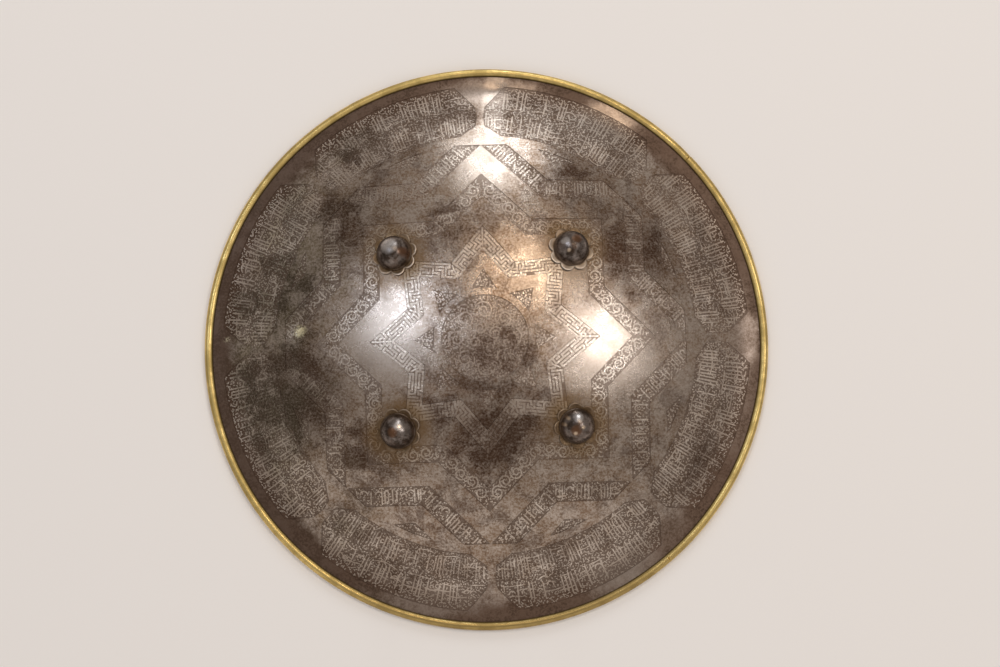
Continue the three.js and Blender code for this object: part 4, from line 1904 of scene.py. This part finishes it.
@dataclass
class RivetedBoss:
    """Domed boss with its shank and clench, over a petalled washer. Millimetres in the seat's frame."""

    number: int
    form: DomeForm = field(default_factory=DomeForm)
    radius: float = 13.5
    collar_radius: float = 14.2
    collar_height: float = 1.6
    dome_height: float = 13.1
    shank_radius: float = 3.0
    clench_radius: float = 6.5
    clench_thickness: float = 2.0
    clench_chamfer: float = 0.6
    gap: float = 0.3
    washer_thickness: float = 1.2
    petal_centre: float = 12.2
    petal_radius: float = 6.0
    petals: int = 8
    washer_turns: tuple[float, ...] = (30.0, 12.0, 20.0, 5.0)
    # Painted highlight on the petals' lips: strength, depth and the side where it is strongest, for each washer.
    lip_highlight: tuple[float, ...] = (1.0, 0.8, 0.3, 0.15)
    lip_depths: tuple[float, ...] = (0.26, 0.12, 0.1, 0.1)
    lit_sides: tuple[float, ...] = (-112.0, -60.0, 45.0, 120.0)
    spots: tuple[tuple[Point, ...], ...] = (
        ((-4.7, -5.4),), (), (), ((-8.8, 7.6), (2.0, 0.6), (-4.0, -4.0), (-11.6, 2.4)),
    )
    patches: tuple[Point, ...] = ((2.2, 4.2), (10.2, -2.4), (-1.0, 0.8), (-3.4, -1.6))
    # Middles and sizes of the painted highlight patch on each boss.
    polished: tuple[Point, ...] = ((-7.0, 2.4), (-1.0, 2.4), (3.2, 5.2), (-1.4, 8.6))
    painted_highlight_sizes: tuple[float, ...] = (3.6, 7.5, 3.6, 4.6)
    spot_size: float = 1.7
    patch_size: float = 4.6
    segments: int = 96
    dome_rows: int = 30
    washer_rows: tuple[float, ...] = (0.0, 0.3, 0.5, 0.62, 0.7, 0.76, 0.82, 0.87, 0.91, 0.95, 0.98, 1.0)
    petal_segments: int = 18
    boss_sharp: float = 42.0
    washer_sharp: float = 48.0

    def seat(self) -> Matrix:
        """Frame of the boss on the dome."""
        return self.form.seat(BOSS_CIRCLE, (self.number - 0.5) * math.pi / 2.0)

    def boss_section(self) -> list[tuple[float, float, float]]:
        """Section of the boss from its clenched end to its top.

        Returns:
            Radius, height and hollow share of its points.
        """
        base = self.washer_thickness + 2.0 * self.gap
        clench_top = -self.form.thickness - self.gap
        clench_end = clench_top - self.clench_thickness
        chamfer, flat = self.clench_chamfer, self.clench_radius - self.clench_chamfer
        section = [(0.0, clench_end, 0.2), (flat - 0.4, clench_end, 0.3)]
        section += [(flat + chamfer * math.sin(angle), clench_end + chamfer * (1.0 - math.cos(angle)), 0.5)
                    for angle in (0.0, 0.5, 1.0, math.pi / 2.0)]
        section += [(self.clench_radius, clench_top, 1.0), (self.shank_radius, clench_top, 1.0),
                    (self.shank_radius, base, 1.0), (self.collar_radius - 0.3, base, 1.0),
                    (self.collar_radius, base + 0.3, 0.9), (self.collar_radius, base + 0.7, 0.6),
                    (self.collar_radius - 0.2, base + 1.05, 0.7), (self.radius - 0.12, base + self.collar_height, 0.9)]
        for step in range(1, self.dome_rows + 1):
            angle = step / self.dome_rows * math.pi / 2.0
            reach = 0.0 if step == self.dome_rows else self.radius * math.cos(angle)
            section.append((reach, base + self.collar_height + self.dome_height * math.sin(angle),
                            max(0.0, 0.7 - 3.0 * angle)))
        return section

    @staticmethod
    def near(place: Point, middles: Sequence[Point], size: float) -> float:
        """Soft share of a place inside round marks.

        Args:
            place: Place seen along the boss's axis.
            middles: Middles of the marks.
            size: Radius of the marks.

        Returns:
            One at a middle, falling to zero at the radius.
        """
        away = min((math.dist(place, middle) / size for middle in middles), default=1.0)
        return max(0.0, 1.0 - away**2) ** 0.7

    def build_boss(self, finish: Finish) -> None:
        """Build the boss, shank and clench as one piece.

        Args:
            finish: Finish of the boss.
        """
        seat, section, index = self.seat(), self.boss_section(), self.number - 1
        rng = random.Random(40 + self.number)
        flats = [(rng.uniform(0.0, 6.28), rng.uniform(0.35, 1.35), rng.uniform(0.05, 0.22)) for _ in range(9)]
        base = self.washer_thickness + 2.0 * self.gap + self.collar_height
        marks = {"spot": (self.spots[index], self.spot_size), "patch": ((self.patches[index],), self.patch_size),
                 "polish": ((self.polished[index],), self.painted_highlight_sizes[index])}
        shares: dict[str, list[float]] = {"hollow": [], **{label: [] for label in marks}}
        verts = []
        for segment in range(self.segments):
            turn = 2.0 * math.pi * segment / self.segments
            for radius, height, share in section:
                flat = plan_point(radius, turn)
                for label, (middles, size) in marks.items():
                    shares[label].append(self.near(flat, middles, size) if height > base else 0.0)
                if height > base and radius > 0.0:
                    rise = math.atan2(height - base, radius)
                    worn = sum(depth * math.exp(-(((math.cos(turn - at) - 1.0) * 8.0) ** 2
                                                  + ((rise - up) * 2.6) ** 2)) for at, up, depth in flats)
                    radius *= 1.0 - worn / self.radius
                    height -= worn * math.sin(rise)
                verts.append(seat @ (Vector((*plan_point(radius, turn), height)) * MM))
                shares["hollow"].append(share)
        piece = make_object(f"boss_dome_{self.number}", verts, [],
                            ring_faces(self.segments, len(section), False))
        store_numbers(piece, shares)
        clean_mesh(piece, self.boss_sharp)
        piece.data.materials.append(finish.material)
        join_body(piece, Slot.BOSS, f"boss_{self.number}")

    def petal_edge(self, turn: float) -> tuple[float, float]:
        """Outline of the washer at an angle.

        Args:
            turn: Angle from a petal's middle.

        Returns:
            Radius, and share of the way from a petal's middle to its side.
        """
        pitch = 2.0 * math.pi / self.petals
        aside = (turn + pitch / 2.0) % pitch - pitch / 2.0
        reach = self.petal_centre * math.cos(aside)
        edge = reach + math.sqrt(max(self.petal_radius**2 - (self.petal_centre * math.sin(aside)) ** 2, 0.0))
        return edge, abs(aside) / (pitch / 2.0)

    def build_washer(self, finish: Finish) -> None:
        """Build the petalled washer with cupped petals.

        Args:
            finish: Finish of the washer.
        """
        seat, index = self.seat(), self.number - 1
        phase, lit_side = math.radians(self.washer_turns[index]), math.radians(self.lit_sides[index])
        lit_share, depth = self.lip_highlight[index], self.lip_depths[index]
        bore, top = self.shank_radius + self.gap, self.gap + self.washer_thickness
        covered = self.collar_radius
        count = self.petals * self.petal_segments
        verts, hollow, lit_lips = [], [], []
        for segment in range(count):
            turn = 2.0 * math.pi * segment / count
            edge, aside = self.petal_edge(turn)
            rows = []
            for share in self.washer_rows:
                radius = bore + (edge - bore) * share
                free = max(0.0, (radius - covered - 0.4) / (self.petal_centre + self.petal_radius - covered - 0.4))
                swell = 0.9 * free**2 * (1.0 - 0.5 * aside**2) - 0.35 * aside**4 * min(1.0, 2.0 * free)
                curl = -0.45 * max(0.0, share - 0.96) / 0.04
                # Pale colour on the lips as a painted highlight, strongest on one side of each washer.
                lip = lit_share * min(1.0, max(0.0, (share - 1.0 + depth) / (0.6 * depth))) * (1.0 - 0.5 * aside**4)
                lip *= max(0.0, 0.5 + 0.5 * math.cos(turn + phase - lit_side)) ** 1.4
                rows.append((radius, top + swell + curl, 0.2 + 0.8 * aside**3 if free > 0.0 else 1.0, lip))
            rows.append((edge - 0.12, self.gap + 0.25, 0.8, 0.0))
            rows += [(bore + (edge - 0.5 - bore) * share, self.gap, 0.9, 0.0) for share in (1.0, 0.66, 0.33, 0.0)]
            for radius, height, share, lip in rows:
                verts.append(seat @ (Vector((*plan_point(radius, turn + phase), height)) * MM))
                hollow.append(share)
                lit_lips.append(lip)
        piece = make_object(f"rosette_petals_{self.number}", verts, [],
                            ring_faces(count, len(rows), True))
        store_numbers(piece, {"hollow": hollow, "lip": lit_lips})
        clean_mesh(piece, self.washer_sharp)
        piece.data.materials.append(finish.material)
        join_body(piece, Slot.BOSS, f"rosette_{self.number}")


@dataclass(frozen=True)
class SoftLight:
    """One soft lamp over the shield.

    Args:
        name: Lamp name.
        bearing: Direction round the axis in degrees.
        elevation: Height over the floor in degrees.
        size: Width and height in metres.
        power: Strength in watts.
        colour: Light colour.
        distance: Distance from the shield in metres.
    """

    name: str
    bearing: float
    elevation: float
    size: Point
    power: float
    colour: Colour
    distance: float = 3.2

    def hang(self) -> None:
        """Put the lamp in the scene, facing the shield."""
        data = bpy.data.lights.new(self.name, "AREA")
        data.shape = "RECTANGLE"
        data.size, data.size_y = self.size
        data.energy = self.power
        data.color = self.colour
        lamp = bpy.data.objects.new(self.name, data)
        bearing, rise = math.radians(self.bearing), math.radians(self.elevation)
        towards = Vector((*plan_point(math.cos(rise), bearing), math.sin(rise)))
        lamp.location = towards * self.distance
        lamp.rotation_euler = towards.to_track_quat("Z", "Y").to_euler()
        bpy.context.collection.objects.link(lamp)


@dataclass(frozen=True)
class Studio:
    """Pale floor, soft lamps and the camera, which looks down on the shield."""

    floor_colour: Colour = (0.99, 0.945, 0.905)
    floor_half: float = 4.0
    floor_drop: float = 0.0004
    air_colour: Colour = (1.0, 0.93, 0.87)
    air_strength: float = 0.385
    target: tuple[float, float, float] = (0.0116, 0.0095, 0.0)
    distance: float = 1.35
    lean: Point = (math.radians(0.29), math.radians(5.73))
    roll: float = math.radians(-1.57)
    focal_pixels: float = 1649.4
    frame_pixels: float = 1000.0
    sensor: float = 36.0
    lamps: tuple[SoftLight, ...] = (
        SoftLight("left_lamp", 149.0, 64.3, (0.52, 0.56), 9.7, (0.70, 0.82, 1.0)),
        SoftLight("far_lamp", 86.0, 29.5, (0.40, 1.25), 16.5, (0.88, 0.94, 1.0)),
        SoftLight("right_lamp", 9.5, 59.5, (0.52, 0.60), 12.2, (0.98, 0.97, 0.97)),
        SoftLight("warm_lamp", 66.0, 64.5, (0.72, 0.66), 10.2, (1.0, 0.82, 0.62)),
        SoftLight("fill_lamp", -97.0, 34.0, (6.0, 2.6), 18.5, (1.0, 0.95, 0.92)),
    )

    def lay_floor(self) -> None:
        """Lay the plain pale floor."""
        half = self.floor_half
        square = [(x, y, -self.floor_drop) for x, y in ((-half, -half), (half, -half), (half, half), (-half, half))]
        floor = make_object("floor", square, [], [(0, 1, 2, 3)])
        material = bpy.data.materials.new("floor_pale")
        material.use_nodes = True
        shader = material.node_tree.nodes["Principled BSDF"]
        shader.inputs["Base Color"].default_value = (*self.floor_colour, 1.0)
        shader.inputs["Roughness"].default_value = 0.9
        shader.inputs["Specular IOR Level"].default_value = 0.2
        floor.data.materials.append(material)
        floor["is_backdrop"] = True

    def light(self) -> None:
        """Set the even room light and hang the lamps."""
        world = bpy.data.worlds.new("room")
        world.use_nodes = True
        background = world.node_tree.nodes["Background"]
        background.inputs["Color"].default_value = (*self.air_colour, 1.0)
        background.inputs["Strength"].default_value = self.air_strength
        bpy.context.scene.world = world
        for lamp in self.lamps:
            lamp.hang()

    def set_camera(self) -> None:
        """Stand the camera over the shield."""
        data = bpy.data.cameras.new("camera")
        data.sensor_fit = "HORIZONTAL"
        data.sensor_width = self.sensor
        data.lens = self.focal_pixels / self.frame_pixels * self.sensor
        camera = bpy.data.objects.new("camera", data)
        back = Vector((math.tan(self.lean[0]), -math.tan(self.lean[1]), 1.0)).normalized()
        right = Vector((0.0, 1.0, 0.0)).cross(back).normalized()
        up = back.cross(right)
        across = right * math.cos(self.roll) + up * math.sin(self.roll)
        upright = up * math.cos(self.roll) - right * math.sin(self.roll)
        turn = Matrix((across, upright, back)).transposed()
        camera.matrix_world = Matrix.Translation(Vector(self.target) + back * self.distance) @ turn.to_4x4()
        bpy.context.collection.objects.link(camera)
        bpy.context.scene.camera = camera

    def build(self) -> None:
        """Set up floor, light and camera."""
        bpy.context.scene.view_settings.view_transform = "Standard"
        self.set_camera()
        self.lay_floor()
        self.light()


def corners(box: Iterable[Iterable[float]]) -> list[list[float]]:
    """Box corners as plain lists of numbers."""
    return [[float(value) for value in corner] for corner in box]


def main() -> None:
    """Build the shield's pieces and the scene."""
    logging.basicConfig(level=logging.INFO, format="%(name)s: %(message)s")
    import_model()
    solid_box = corners(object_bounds())
    Studio().build()
    effects = SurfaceEffects()
    groups = {"mottle": effects.mottle(), "stains": effects.placed_stains(), "scratches": effects.scratches()}
    plate, relief = PlateFinish(groups), ReliefFinish(groups)
    boss, washer, brass = BossFinish(groups), WasherFinish(groups), BrassFinish(groups)
    ShieldBowl().build(plate, relief)
    BrassEdging().build(brass)
    for number in range(1, 5):
        riveted = RivetedBoss(number)
        riveted.build_washer(washer)
        riveted.build_boss(boss)
    {"cad": solid_box, "visual": corners(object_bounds())}
    LOG.info("boxes written")


if __name__ == "__main__":
    main()
